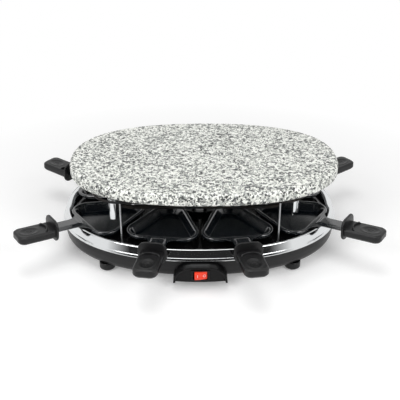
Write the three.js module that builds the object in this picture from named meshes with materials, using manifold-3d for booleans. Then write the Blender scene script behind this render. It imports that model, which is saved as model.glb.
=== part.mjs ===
// An oval raclette grill for eight people, with a granite slab above a ring of eight pans.
// Millimetres, +Z up, the switch toward -Y, and the rubber pads standing on z = 0.
import * as THREE from 'three';
import { mergeVertices } from 'three/addons/utils/BufferGeometryUtils.js';
import Module from 'manifold-3d';

const wasm = await Module();
wasm.setup();

// Sizes that several pieces share
const gap = 0.3;
const overrun = 2;
const sheet = 1.2;
const ovalSteps = 40;
const arcSteps = 4;
const cornerSteps = 3;

// Base: an oval that the shell, the tray and the ring all follow. Plan sizes are shares of its width
const baseWidth = 322;
const baseLengthShare = 1.36646;
const basePower = 2.2;
const baseLength = baseLengthShare * baseWidth;
const ofWidth = (share) => share * baseWidth;

// Feet and their pads
const footShares = [0.43634, 0.35093];
const [footX, footY] = footShares.map(ofWidth);
const footRadius = 12;
const footHeight = 13;
const footToe = 2;
const padRadius = 8.5;
const padHeight = 2.5;
const padStandOut = 1.2;

// Lower shell
const shellBottom = 7;
const shellHeight = 36.6;
const shellInset = 28;
const shellWall = 2.5;
const shellShares = [
  [1, 0], [0.5, 0.06], [0.24, 0.17], [0.125, 0.36], [0.107, 0.62], [0.15, 0.86], [0.196, 1],
];
const shellTop = shellBottom + shellHeight;
const shellFloor = shellBottom + shellWall;

// Screws that hold the shell to the tray
const screwShares = [0.24845, 0.18634];
const [screwX, screwY] = screwShares.map(ofWidth);
const screwBossRadius = 5;
const screwShankRadius = 1.9;
const screwHeadRadius = 3.6;
const screwHeadHeight = 2;
const screwLength = 24;
const shellBossHeight = 17;

// Inner tray
const trayInset = 6.2;
const trayBottom = shellTop + gap;
const trayTop = trayBottom + sheet;
const trayRibWidth = 7;
const trayRibHeight = 4;
const trayHubRadius = 17;

// Trim ring, as shares of its width and of its height above the tray
const ringWidth = 17.5;
const ringHeight = 11.1;
const ringShares = [
  [0.13, -0.56], [0, -0.33], [0.05, -0.14], [0.2, 0.12], [0.24, 0.42], [0.22, 0.7],
  [0.27, 0.93], [0.4, 1], [0.54, 0.91], [1, 0.08],
];

// Hub in the middle of the tray
const hubShares = [0.09627, 0.07453];
const [hubFlangeRadius, hubNeckRadius] = hubShares.map(ofWidth);
const hubNeckHeight = 4;
const dishHeight = 3.4;
const dishShares = [0.11801, 0.04969];
const [dishRadius, dishHole] = dishShares.map(ofWidth);
const dishLip = 3;

// Pans
const panShares = [0.34161, 0.33540];
const panRadiusShares = [0.07453, 0.0854];
const [panWidth, panDepth] = panShares.map(ofWidth);
const [panNearRadius, panFarRadius] = panRadiusShares.map(ofWidth);
const panFarSteps = 6;
const panHeight = 14.1;
const panLip = 3;
const panWallRun = 8.5;
const panFloorCorner = 1.8;
const panBottom = trayTop + gap;
const panRim = panBottom + panHeight;

// Seats of the pans: the middle of the wide side, and how the handle turns
const frontSeatShares = [0.18634, 0.38665];
const [frontSeatX, frontSeatY] = frontSeatShares.map(ofWidth);
const frontSplay = 9;
const sideSeatShares = [0.56056, 0.22733];
const [sideSeatX, sideSeatY] = sideSeatShares.map(ofWidth);
const sideSplay = 34;

// Pan arms: a pressed channel with a tang that runs into the handle
const armLength = 47.5;
const armTilt = 4;
const armWidth = 28;
const armPlateau = 18;
const armShoulder = 22;
const armRise = 2.8;
const armInnerStep = 0.8;
const armDrop = 0.3;
const armFillet = 18;
const tangWidth = 18;
const tangReach = 26;
const tangOverlap = 10;

// Handles
const guardWidth = 42;
const guardHeight = 33;
const guardThick = 3.5;
const guardCorner = 12;
const guardDrop = 16;
const gripLength = 55.5;
const gripWidth = 35;
const gripThick = 13;
const gripCorner = 9;
const gripBevel = 2.5;
const gripDrop = 9.5;
const thumbRibRise = 3;
const thumbRibWidth = 2.4;
const thumbRibRadius = 20;
const thumbRibHalf = 14.5;
const thumbRibPlace = 7;

// Granite slab
const slabShares = [1.30435, 0.86957];
const [slabLength, slabWidth] = slabShares.map(ofWidth);
const slabThick = 18.5;
const slabPower = 2.35;
const slabEdge = 4.5;
const slabPlaceShares = [0.02174, 0.00621];
const [slabX, slabY] = slabPlaceShares.map(ofWidth);
const slabBottom = 116.5;
const slabEdgeSteps = 3;

// Posts under the slab
const postRadius = 6.3;
const postWall = 1;
const postFlangeRadius = 7.5;
const postFlangeThick = 1.6;
const postLength = 33;
const postLeftShares = [0.39596, 0.32919];
const postRightShares = [0.44099, 0.30124];
const [postLeftX, postLeftY] = postLeftShares.map(ofWidth);
const [postRightX, postRightY] = postRightShares.map(ofWidth);

// Rack: a wire frame on four rods
const rackShares = [0.99379, 0.73292, 0.13043];
const [rackLength, rackWidth, rackCorner] = rackShares.map(ofWidth);
const rackWireRadius = 2;
const rodShare = 0.36025;
const rodX = ofWidth(rodShare);
const rodRadius = 1.5;
const rodReach = 5.5;
const rackZ = slabBottom - gap - rackWireRadius;
const nutRadius = 5;
const nutHeight = 3.2;

// Heating element
const tubeRadius = 3.25;
const tubeZ = 100;
const tubeShares = [0.77019, 0.64596, 0.07764];
const [tubeLength, tubeWidth, tubeCorner] = tubeShares.map(ofWidth);
const tubeLegX = 9;
const tubeSides = 6;

// Clips that carry the element from the rack
const clipWidth = 12;
const clipDrop = 8;
const clipHook = 4.5;

// Ceramic block at the cold ends of the element
const blockRadius = 15.5;
const blockFlangeRadius = 21;
const blockFlangeHeight = 3;
const blockAbove = 3.5;
const blockBelow = 14;
const socketDepth = 6;
const tabWidth = 6.3;
const tabThick = 0.8;
const tabLength = 10;

// Control housing at the front
const housingStandOut = 13;
const housingFront = baseWidth / 2 + housingStandOut;
const housingBottom = 12.5;
const housingArch = [[39.5, housingBottom], [38.5, 21], [33, 30.5], [23, 36.8], [13, 38.4]];
const housingWall = 2.4;
const recessDepth = 2.6;
const recessBorder = 3;

// Rocker switch
const switchZ = 24.7;
const bezelWidth = 27;
const bezelHeight = 17.6;
const bezelThick = 1.8;
const switchWidth = 23;
const switchHeight = 15.2;
const switchDepth = 17;
const rockerWidth = 18.4;
const rockerHeight = 12.4;
const rockerDepth = 5;
const rockerStandOut = 2.4;
const rockerTilt = 10;
const rockerSide = 1.2;
const rockerPinRadius = 1;
const rockerPinLength = 0.8;
const rockerPinSides = 24;
const pivotDepth = 3.2;

// Cord inlet at the rear
const inletZ = 24;
const inletRadius = 6.5;
const inletBore = 3.6;
const inletFlangeRadius = 9;
const inletFlangeThick = 2;
const inletOutside = 12;
const inletInside = 6;

// Leads inside the shell
const leadRadius = 1.5;
const leadBend = 6;
const leadAtSwitch = 6;
const leadSpread = 2.2;
const leadLane = 26;
const leadShares = [0.42236, 0.3354, 0.39441];
const [leadTurnY, leadLaneY, leadRiseY] = leadShares.map(ofWidth);
const leadLift = 6;
const leadSides = 6;

// Finishes
const finish = (color, roughness, metalness) => (
  new THREE.MeshStandardMaterial({ color, roughness, metalness })
);
const granite = finish(0xb8b7b3, 0.45, 0);
const chrome = finish(0xd9dbde, 0.12, 1);
const steel = finish(0xb4b6b9, 0.35, 1);
const blackPlastic = finish(0x1b1b1d, 0.5, 0);
const blackEnamel = finish(0x121214, 0.25, 0.2);
const coating = finish(0x242426, 0.4, 0.2);
const rubber = finish(0x202020, 0.9, 0);
const redPlastic = finish(0xd5331b, 0.25, 0);
const ceramic = finish(0xe9e4d8, 0.7, 0);
const tubeSteel = finish(0x55504a, 0.45, 0.9);
const brownLead = finish(0x5b3a22, 0.6, 0);
const blueLead = finish(0x27508f, 0.6, 0);
const whiteLead = finish(0xe6e6e2, 0.6, 0);

// Closed meshes to solids and back, for cuts and joins
function toSolid(geometry) {
  const bare = geometry.clone();
  bare.deleteAttribute('normal');
  bare.deleteAttribute('uv');
  const merged = mergeVertices(bare);
  const vertProperties = Float32Array.from(merged.attributes.position.array);
  const triVerts = Uint32Array.from(merged.index.array);
  return new wasm.Manifold(new wasm.Mesh({ numProp: 3, vertProperties, triVerts }));
}

function toGeometry(solid) {
  const mesh = solid.getMesh();
  const geometry = new THREE.BufferGeometry();
  geometry.setAttribute('position', new THREE.BufferAttribute(mesh.vertProperties, 3));
  geometry.setIndex(new THREE.BufferAttribute(mesh.triVerts, 1));
  return geometry;
}

function join(geometries) {
  const solids = geometries.map(toSolid);
  return toGeometry(solids.reduce((whole, solid) => whole.add(solid)));
}

function cut(geometry, cutters) {
  const solids = cutters.map(toSolid);
  return toGeometry(solids.reduce((whole, solid) => whole.subtract(solid), toSolid(geometry)));
}

// A skin over rings of points, capped at its two ends or closed into a loop
function loft(rings, closed = false) {
  const around = rings[0].length;
  const positions = rings.flat().flatMap((point) => [point.x, point.y, point.z]);
  const triangles = [];
  const last = closed ? rings.length : rings.length - 1;
  for (let i = 0; i < last; i += 1) {
    const low = i * around;
    const high = ((i + 1) % rings.length) * around;
    for (let j = 0; j < around; j += 1) {
      const k = (j + 1) % around;
      triangles.push(low + j, low + k, high + k, low + j, high + k, high + j);
    }
  }
  if (!closed) {
    const end = (rings.length - 1) * around;
    for (const [a, b, c] of capTriangles(around)) {
      triangles.push(c, b, a, end + a, end + b, end + c);
    }
  }
  return outward(positions, triangles);
}

// Triangles across a convex ring, in a zigzag from its first point
function capTriangles(count) {
  const triangles = [];
  let low = 0;
  let high = count - 1;
  while (high - low > 1) {
    triangles.push([low, low + 1, high]);
    low += 1;
    if (high - low > 1) {
      triangles.push([low, high - 1, high]);
      high -= 1;
    }
  }
  return triangles;
}

// A geometry whose faces look outward, whatever way its rings ran
function outward(positions, triangles) {
  const at = (i) => new THREE.Vector3().fromArray(positions, 3 * i);
  let volume = 0;
  for (let i = 0; i < triangles.length; i += 3) {
    const [a, b, c] = triangles.slice(i, i + 3).map(at);
    volume += a.dot(b.cross(c));
  }
  const index = volume < 0 ? [...triangles].reverse() : triangles;
  const geometry = new THREE.BufferGeometry();
  geometry.setAttribute('position', new THREE.Float32BufferAttribute(positions, 3));
  geometry.setIndex(index);
  return geometry;
}

// A superellipse as a ring of points at one height
function ovalRing(length, width, power, z, x = 0, y = 0) {
  const points = [];
  for (let i = 0; i < ovalSteps; i += 1) {
    const angle = (2 * Math.PI * i) / ovalSteps;
    const cos = Math.cos(angle);
    const sin = Math.sin(angle);
    points.push(new THREE.Vector3(
      x + (length / 2) * Math.sign(cos) * Math.abs(cos) ** (2 / power),
      y + (width / 2) * Math.sign(sin) * Math.abs(sin) ** (2 / power),
      z,
    ));
  }
  return points;
}

const baseRing = (inset, z) => (
  ovalRing(baseLength - 2 * inset, baseWidth - 2 * inset, basePower, z)
);

// A line of [inset, height] points moved sideways, to the left of its direction
function moved(line, distance) {
  return line.map(([x, y], i) => {
    const [ax, ay] = line[Math.max(i - 1, 0)];
    const [bx, by] = line[Math.min(i + 1, line.length - 1)];
    const length = Math.hypot(bx - ax, by - ay);
    return [x - (distance * (by - ay)) / length, y + (distance * (bx - ax)) / length];
  });
}

// A flat outline drawn out along +Z, with an optional bevel
function drawnOut(outline, depth, bevel = 0, steps = cornerSteps) {
  const shape = outline instanceof THREE.Shape ? outline : new THREE.Shape(outline);
  return new THREE.ExtrudeGeometry(shape, {
    depth: depth - 2 * bevel,
    curveSegments: steps,
    bevelEnabled: bevel > 0,
    bevelThickness: bevel,
    bevelSize: bevel,
    bevelOffset: -bevel,
    bevelSegments: 1,
  }).translate(0, 0, bevel);
}

const flat = (points) => points.map(([x, y]) => new THREE.Vector2(x, y));

// A box by its lowest and highest corners
function block([x0, y0, z0], [x1, y1, z1]) {
  const box = new THREE.BoxGeometry(x1 - x0, y1 - y0, z1 - z0);
  return box.translate((x0 + x1) / 2, (y0 + y1) / 2, (z0 + z1) / 2);
}

// An upright round bar from one height to another
function bar(radius, low, high, x = 0, y = 0, sides = 16) {
  const cylinder = new THREE.CylinderGeometry(radius, radius, high - low, sides);
  return cylinder.rotateX(Math.PI / 2).translate(x, y, (low + high) / 2);
}

// A turned piece about Z from [radius, height] points
function turned(profile, sides = 20) {
  const points = flat([...profile, profile[0]]);
  return new THREE.LatheGeometry(points, sides).rotateX(Math.PI / 2);
}

// Corners of a path, each rounded with an arc
function roundedPath(corners, radius, steps, closed = false) {
  const path = [];
  corners.forEach((corner, i) => {
    if (!closed && (i === 0 || i === corners.length - 1)) {
      path.push(corner);
      return;
    }
    const before = corners[(i + corners.length - 1) % corners.length];
    const after = corners[(i + 1) % corners.length];
    const back = before.clone().sub(corner).normalize();
    const on = after.clone().sub(corner).normalize();
    const half = back.angleTo(on) / 2;
    const inward = back.clone().add(on).normalize();
    const centre = inward.multiplyScalar(radius / Math.sin(half)).add(corner);
    const start = back.clone().multiplyScalar(radius / Math.tan(half)).add(corner).sub(centre);
    const axis = back.clone().cross(on).normalize();
    for (let step = 0; step <= steps; step += 1) {
      const turn = (-step / steps) * (Math.PI - 2 * half);
      path.push(start.clone().applyAxisAngle(axis, turn).add(centre));
    }
  });
  return path;
}

// A round tube along a path of points
function tube(path, radius, sides, closed = false) {
  const last = path.length - 1;
  const near = (i) => path[closed ? (i + path.length) % path.length : Math.min(Math.max(i, 0), last)];
  let across = null;
  const rings = path.map((point, i) => {
    const along = near(i + 1).clone().sub(near(i - 1)).normalize();
    across = across ?? (Math.abs(along.z) > Math.SQRT1_2 ? vector(1, 0, 0) : vector(0, 0, 1));
    across = across.clone().sub(along.clone().multiplyScalar(across.dot(along))).normalize();
    const side = along.clone().cross(across);
    return Array.from({ length: sides }, (_, j) => {
      const angle = (2 * Math.PI * j) / sides;
      return point.clone()
        .add(across.clone().multiplyScalar(radius * Math.cos(angle)))
        .add(side.clone().multiplyScalar(radius * Math.sin(angle)));
    });
  });
  return loft(rings, closed);
}

const vector = (x, y, z) => new THREE.Vector3(x, y, z);
const corners = (x, y) => [[-x, -y], [x, -y], [x, y], [-x, y]];

const grill = new THREE.Group();

function place(name, geometry, material, position = [0, 0, 0], turn = 0) {
  geometry.computeVertexNormals();
  const mesh = new THREE.Mesh(geometry, material);
  mesh.name = name;
  mesh.position.set(...position);
  mesh.rotation.z = turn;
  grill.add(mesh);
}

// Lower shell: a moulded bowl with four screw bosses
const shellLine = shellShares.map(([inset, height]) => (
  [inset * shellInset, shellBottom + height * shellHeight]
));

function shellForm(grow) {
  const line = moved(shellLine, grow);
  const top = [line[line.length - 1][0], shellTop + overrun];
  return loft([...line, top].map(([inset, z]) => baseRing(inset, z)));
}

const outletY = baseWidth / 2 - Math.min(...shellLine.map(([inset]) => inset));
const windowHalf = bezelWidth / 2 + gap;
const windowLow = switchZ - switchHeight / 2 - overrun;
const windowHigh = switchZ + switchHeight / 2 + overrun;

function lowerShell() {
  const inner = moved(shellLine, -shellWall).reverse();
  inner[0] = [inner[0][0], shellTop];
  inner[inner.length - 1] = [shellInset, shellFloor];
  const bowl = loft([...shellLine, ...inner].map(([inset, z]) => baseRing(inset, z)));
  const bosses = corners(screwX, screwY).map(([x, y]) => (
    bar(screwBossRadius, shellBottom + sheet, shellBottom + shellBossHeight, x, y)
  ));
  const bores = corners(screwX, screwY).flatMap(([x, y]) => [
    bar(screwShankRadius + gap, shellBottom, shellTop, x, y),
    bar(screwHeadRadius + gap, 0, shellBottom + screwHeadHeight + gap, x, y),
  ]);
  const front = block(
    [-windowHalf, -baseWidth / 2 - overrun, windowLow],
    [windowHalf, -baseWidth / 2 + shellInset, windowHigh],
  );
  const rear = inletHole(inletRadius + gap);
  return cut(join([bowl, ...bosses]), [...bores, front, rear]);
}

function inletHole(radius) {
  const hole = bar(radius, -shellInset / 2, shellInset / 2);
  return hole.rotateX(Math.PI / 2).translate(0, outletY, inletZ);
}

place('lower_shell', lowerShell(), blackPlastic);

// Feet: turned lobes that the shell's side sits into, with pads let in from below
const footForm = turned([
  [0, padStandOut],
  [footRadius - footToe, padStandOut],
  [footRadius, padStandOut + footToe],
  [footRadius, footHeight],
  [0, footHeight],
], 16);
const padRecess = bar(padRadius + gap, -overrun, padHeight + gap);
const footNames = ['foot_front_left', 'foot_front_right', 'foot_rear_right', 'foot_rear_left'];
corners(footX, footY).forEach(([x, y], i) => {
  const shellThere = shellForm(gap).translate(-x, -y, 0);
  place(footNames[i], cut(footForm, [shellThere, padRecess]), blackPlastic, [x, y, 0]);
  place(footNames[i].replace('foot', 'foot_pad'), bar(padRadius, 0, padHeight), rubber, [x, y, 0]);
});

// Inner tray: a flat pressed sheet with ribs, a hub hole and holes for the rods
function innerTray() {
  const plate = loft([trayBottom, trayTop].map((z) => baseRing(trayInset, z)));
  const reach = baseWidth / 2 - ringWidth - trayRibWidth / 2;
  const ribs = [-1, 1].map((side) => {
    const ends = [side * (hubFlangeRadius + gap), side * reach].sort((a, b) => a - b);
    return block(
      [-trayRibWidth / 2, ends[0], trayBottom + sheet / 2],
      [trayRibWidth / 2, ends[1], trayTop + trayRibHeight],
    );
  });
  const bossLow = shellBottom + shellBossHeight + gap;
  const bosses = corners(screwX, screwY).map(([x, y]) => (
    bar(screwBossRadius, bossLow, trayTop - sheet / 2, x, y)
  ));
  const holes = [
    bar(trayHubRadius, trayBottom - overrun, trayTop + overrun, 0, 0, 24),
    ...corners(rodX, rackWidth / 2).map(([x, y]) => (
      bar(rodRadius + gap, trayBottom - overrun, trayTop + overrun, x, y, 8)
    )),
    ...corners(screwX, screwY).map(([x, y]) => (
      bar(screwShankRadius + gap, bossLow - overrun, trayBottom, x, y)
    )),
  ];
  return cut(join([plate, ...ribs, ...bosses]), holes);
}

place('inner_tray', innerTray(), blackEnamel);

// Screws from below
const screwHeadTop = shellBottom + screwHeadHeight;
const screwForm = join([
  bar(screwHeadRadius, shellBottom, screwHeadTop),
  bar(screwShankRadius, screwHeadTop - sheet, screwHeadTop + screwLength, 0, 0, 10),
]);
const screwNames = ['screw_front_left', 'screw_front_right', 'screw_rear_right', 'screw_rear_left'];
corners(screwX, screwY).forEach(([x, y], i) => {
  place(screwNames[i], screwForm.clone(), steel, [x, y, 0]);
});

// Trim ring: a bright pressed band that caps the shell and slopes down to the tray
function trimRing() {
  const seat = trayTop + gap;
  const outer = ringShares.map(([inset, height]) => [inset * ringWidth, seat + height * ringHeight]);
  const inner = moved(outer, -sheet).reverse();
  return loft([...outer, ...inner].map(([inset, z]) => baseRing(inset, z)), true);
}

place('trim_ring', trimRing(), chrome);

// Hub: a pedestal on the tray and a dish on top of it, both open in the middle
const hubBottom = trayTop + gap;
const hubTop = hubBottom + sheet + hubNeckHeight;
place('hub_pedestal', turned([
  [hubNeckRadius - sheet, hubBottom],
  [hubFlangeRadius, hubBottom],
  [hubFlangeRadius, hubBottom + sheet],
  [hubNeckRadius, hubBottom + sheet],
  [hubNeckRadius, hubTop],
  [hubNeckRadius - sheet, hubTop],
]), blackEnamel);

const dishBottom = hubTop + gap;
place('hub_dish', turned([
  [dishHole, dishBottom],
  [dishRadius - dishLip, dishBottom],
  [dishRadius, dishBottom + dishHeight - sheet],
  [dishRadius, dishBottom + dishHeight],
  [dishRadius - sheet, dishBottom + dishHeight],
  [dishRadius - dishLip - sheet, dishBottom + sheet],
  [dishHole, dishBottom + sheet],
]), blackEnamel);

// Pan outline: two near corners and one far arc, joined by straight lines
const nearX = -panNearRadius;
const nearY = panWidth / 2 - panNearRadius;
const farX = panFarRadius - panDepth;
const sideAngle = 2 * Math.PI + Math.atan2(-nearY, farX - nearX)
  - Math.acos((panNearRadius - panFarRadius) / Math.hypot(farX - nearX, nearY));

function arcPoints(x, y, radius, from, to, steps, z) {
  return Array.from({ length: steps + 1 }, (_, i) => {
    const angle = from + ((to - from) * i) / steps;
    return vector(x + radius * Math.cos(angle), y + radius * Math.sin(angle), z);
  });
}

function panRing(inset, z) {
  const near = panNearRadius - inset;
  const far = panFarRadius - inset;
  return [
    ...arcPoints(nearX, nearY, near, 0, sideAngle, arcSteps, z),
    ...arcPoints(farX, 0, far, sideAngle, 2 * Math.PI - sideAngle, panFarSteps, z),
    ...arcPoints(nearX, -nearY, near, -sideAngle, 0, arcSteps, z),
  ];
}

// The pan's dish, as a thick skin from its underside over the rim to its inside
function panDish() {
  const foot = panLip + panWallRun;
  return loft([
    panRing(foot + panFloorCorner, panBottom),
    panRing(foot - sheet / 2, panBottom + panFloorCorner),
    panRing(panLip, panRim - sheet),
    panRing(0, panRim - sheet),
    panRing(0, panRim),
    panRing(panLip + sheet, panRim),
    panRing(foot + sheet / 2, panBottom + sheet + panFloorCorner),
    panRing(foot + sheet + panFloorCorner, panBottom + sheet),
  ]);
}

// The arm's section is a raised channel between two flat lips
const armTop = panRim - armDrop;
const armStart = panLip / 2;

function panArm() {
  const line = [
    [-armWidth / 2, armTop], [-armShoulder / 2, armTop], [-armPlateau / 2, armTop + armRise],
    [armPlateau / 2, armTop + armRise], [armShoulder / 2, armTop], [armWidth / 2, armTop],
  ];
  const under = line.map(([y, z], i) => {
    const inward = i === 0 || i === line.length - 1 ? 0 : armInnerStep;
    return [y - Math.sign(y) * inward, z - sheet];
  }).reverse();
  const section = drawnOut(flat([...line, ...under]), armLength - gap + armStart);
  return section.applyMatrix4(new THREE.Matrix4().makeBasis(
    vector(0, 1, 0),
    vector(0, 0, 1),
    vector(1, 0, 0),
  )).translate(-armStart, 0, 0);
}

// Concave fillets where the lips run into the rim
function armRoot(side) {
  const edge = (armWidth / 2) * side;
  const points = [[-armStart, (armShoulder / 2) * side], [-armStart, edge + armFillet * side]];
  for (let i = 0; i <= arcSteps; i += 1) {
    const angle = (Math.PI / 2) * (i / arcSteps);
    points.push([armFillet * (1 - Math.cos(angle)), edge + armFillet * side * (1 - Math.sin(angle))]);
  }
  points.push([armFillet, (armShoulder / 2) * side]);
  const ordered = side > 0 ? points.reverse() : points;
  return drawnOut(flat(ordered), sheet).translate(0, 0, armTop - sheet);
}

const tangEnd = armLength + guardThick + tangReach;
const degree = Math.PI / 180;

// The arm and its handle rise a little toward the hand
function tilted(geometry) {
  return geometry.translate(0, 0, -armTop).rotateY(-armTilt * degree).translate(0, 0, armTop);
}

function panSolid() {
  const tangRoot = block(
    [armLength - tangOverlap, -armShoulder / 2, armTop - sheet],
    [armLength - gap, armShoulder / 2, armTop],
  );
  const tang = block(
    [armLength - tangOverlap, -tangWidth / 2, armTop - sheet],
    [tangEnd, tangWidth / 2, armTop],
  );
  const arm = join([panArm(), armRoot(1), armRoot(-1), tangRoot, tang]);
  return join([panDish(), tilted(arm)]);
}

// A rectangle with rounded corners, about a point
function roundedRectangle(width, height, radius, x = 0, y = 0) {
  const shape = new THREE.Shape();
  const right = x + width / 2 - radius;
  const left = x - width / 2 + radius;
  const high = y + height / 2 - radius;
  const low = y - height / 2 + radius;
  shape.absarc(right, high, radius, 0, Math.PI / 2);
  shape.absarc(left, high, radius, Math.PI / 2, Math.PI);
  shape.absarc(left, low, radius, Math.PI, 1.5 * Math.PI);
  shape.absarc(right, low, radius, 1.5 * Math.PI, 2 * Math.PI);
  return shape;
}

// Handle: a round-cornered guard, a flat grip, a thumb rib and the slot for the tang
function handleSolid() {
  const guardZ = panRim + guardHeight / 2 - guardDrop;
  const guard = drawnOut(roundedRectangle(guardWidth, guardHeight, guardCorner), guardThick)
    .applyMatrix4(new THREE.Matrix4().makeBasis(vector(0, 1, 0), vector(0, 0, 1), vector(1, 0, 0)))
    .translate(armLength, 0, guardZ);
  const start = armLength + guardThick / 2;
  const end = armLength + guardThick + gripLength;
  const low = panRim - gripDrop;
  const half = gripWidth / 2;
  const outline = new THREE.Shape();
  outline.moveTo(start, -half);
  outline.lineTo(end - gripCorner, -half);
  outline.absarc(end - gripCorner, -half + gripCorner, gripCorner, -Math.PI / 2, 0);
  outline.absarc(end - gripCorner, half - gripCorner, gripCorner, 0, Math.PI / 2);
  outline.lineTo(start, half);
  const grip = drawnOut(outline, gripThick, gripBevel).translate(0, 0, low);
  const ribCentre = armLength + guardThick + thumbRibPlace + thumbRibRadius;
  const rib = thumbRib().translate(ribCentre, 0, low + gripThick - gripBevel);
  const slot = block(
    [armLength - overrun, -tangWidth / 2 - gap, armTop - sheet - gap],
    [tangEnd + gap, tangWidth / 2 + gap, armTop + gap],
  );
  return tilted(cut(join([guard, grip, rib]), [slot]));
}

// A curved rib across the grip, its hollow side toward the grip's end
function thumbRib() {
  const reach = Math.asin(thumbRibHalf / thumbRibRadius);
  const inner = thumbRibRadius - thumbRibWidth;
  const shape = new THREE.Shape();
  shape.absarc(0, 0, thumbRibRadius, Math.PI - reach, Math.PI + reach);
  shape.absarc(0, 0, inner, Math.PI + reach, Math.PI - reach, true);
  return drawnOut(shape, gripBevel + thumbRibRise, 0, 2 * cornerSteps);
}

// Eight seats: two pans at the front, two at the rear and two at each side
const seats = [[-1, -1], [1, -1], [1, 1], [-1, 1]].flatMap(([x, y]) => {
  const end = y < 0 ? 'front' : 'rear';
  const hand = x < 0 ? 'left' : 'right';
  return [
    {
      name: `${end}_${hand}`,
      spot: [x * frontSeatX, y * frontSeatY, 0],
      turn: Math.atan2(y * Math.cos(frontSplay * degree), x * Math.sin(frontSplay * degree)),
    },
    {
      name: `${hand}_side_${end}`,
      spot: [x * sideSeatX, y * sideSeatY, 0],
      turn: Math.atan2(y * Math.sin(sideSplay * degree), x * Math.cos(sideSplay * degree)),
    },
  ];
});
const panForm = panSolid();
const handleForm = handleSolid();
for (const { name, spot, turn } of seats) {
  place(`pan_${name}`, panForm.clone(), coating, spot, turn);
  place(`handle_${name}`, handleForm.clone(), blackPlastic, spot, turn);
}

// Granite slab with rounded edges
function slab() {
  const quarter = Array.from({ length: slabEdgeSteps + 1 }, (_, i) => {
    const angle = (Math.PI / 2) * (i / slabEdgeSteps);
    return [slabEdge * (1 - Math.sin(angle)), slabEdge * (1 - Math.cos(angle))];
  });
  const line = [...quarter, ...quarter.map(([inset, z]) => [inset, slabThick - z]).reverse()];
  return loft(line.map(([inset, z]) => (
    ovalRing(slabLength - 2 * inset, slabWidth - 2 * inset, slabPower, slabBottom + z, slabX, slabY)
  )));
}

place('granite_slab', slab(), granite);

// Posts: half tubes that hang from the slab and keep it in place
function post(openAngle) {
  const shape = new THREE.Shape();
  shape.absarc(0, 0, postRadius, Math.PI / 2, 1.5 * Math.PI);
  shape.absarc(0, 0, postRadius - postWall, 1.5 * Math.PI, Math.PI / 2, true);
  const top = slabBottom - gap;
  const half = drawnOut(shape, postLength - postWall, 0, 2 * cornerSteps)
    .translate(0, 0, top - postLength);
  const flange = bar(postFlangeRadius, top - postFlangeThick, top, 0, 0, 20);
  return join([half, flange]).rotateZ(openAngle);
}

place('slab_post_front_left', post(Math.PI / 2), chrome, [-postLeftX, -postLeftY, 0]);
place('slab_post_front_right', post(-Math.PI / 4), chrome, [postRightX, -postRightY, 0]);
place('slab_post_rear_right', post(-Math.PI / 2), chrome, [postRightX, postRightY, 0]);
place('slab_post_rear_left', post((-3 * Math.PI) / 4), chrome, [-postLeftX, postLeftY, 0]);

// Rack: a wire loop under the slab on four rods that pass through the tray
function rackFrame() {
  const loop = corners(rackLength / 2, rackWidth / 2).map(([x, y]) => vector(x, y, rackZ));
  const wire = tube(roundedPath(loop, rackCorner, arcSteps, true), rackWireRadius, tubeSides, true);
  const foot = trayBottom - rodReach;
  const rods = corners(rodX, rackWidth / 2).map(([x, y]) => bar(rodRadius, foot, rackZ, x, y, tubeSides));
  return join([wire, ...rods]);
}

place('rack_frame', rackFrame(), steel);

const nutTop = trayBottom - gap;
const nutForm = cut(
  bar(nutRadius, nutTop - nutHeight, nutTop, 0, 0, 6),
  [bar(rodRadius + gap, nutTop - nutHeight - overrun, nutTop + overrun, 0, 0, 8)],
);
const nutNames = ['nut_front_left', 'nut_front_right', 'nut_rear_right', 'nut_rear_left'];
corners(rodX, rackWidth / 2).forEach(([x, y], i) => {
  place(nutNames[i], nutForm.clone(), steel, [x, y, 0]);
});

// Heating element: one tube that leaves the hub, runs round and comes back
const blockTop = trayTop + blockAbove;
const blockBottom = trayBottom - blockBelow;
const legEnd = blockTop - socketDepth + gap;

function heatingElement() {
  const x = tubeLength / 2;
  const y = tubeWidth / 2;
  const path = [
    [tubeLegX, 0, legEnd], [tubeLegX, 0, tubeZ], [tubeLegX, y, tubeZ], [x, y, tubeZ], [x, -y, tubeZ],
    [-x, -y, tubeZ], [-x, y, tubeZ], [-tubeLegX, y, tubeZ], [-tubeLegX, 0, tubeZ], [-tubeLegX, 0, legEnd],
  ].map((corner) => vector(...corner));
  const small = tubeCorner / 2;
  const leaving = roundedPath(path.slice(0, 4), small, arcSteps).slice(0, -1);
  const around = roundedPath(path.slice(2, 8), tubeCorner, arcSteps).slice(1, -1);
  const returning = roundedPath(path.slice(6), small, arcSteps).slice(1);
  return tube([...leaving, ...around, ...returning], tubeRadius, tubeSides);
}

place('heating_element', heatingElement(), tubeSteel);

// Clips: bent strips from the rack's side wires to a cradle under the element
function elementClip(side) {
  const high = rackZ - rackWireRadius - gap - sheet / 2;
  const low = tubeZ - tubeRadius - gap - sheet / 2;
  const outerX = rackLength / 2 + rackWireRadius + gap + sheet / 2;
  const innerX = tubeLength / 2 + tubeRadius + gap + sheet / 2;
  const line = [
    [outerX, high + clipHook], [outerX, high], [innerX + clipDrop / 2, high],
    [innerX, high - clipDrop], [innerX, low], [tubeLength / 2 - tubeRadius, low],
  ];
  const outline = [...moved(line, sheet / 2), ...moved(line, -sheet / 2).reverse()];
  const strip = drawnOut(flat(outline), clipWidth).rotateX(Math.PI / 2).translate(0, clipWidth / 2, 0);
  return side > 0 ? strip : strip.rotateZ(Math.PI);
}

place('element_clip_left', elementClip(-1), steel);
place('element_clip_right', elementClip(1), steel);

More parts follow.
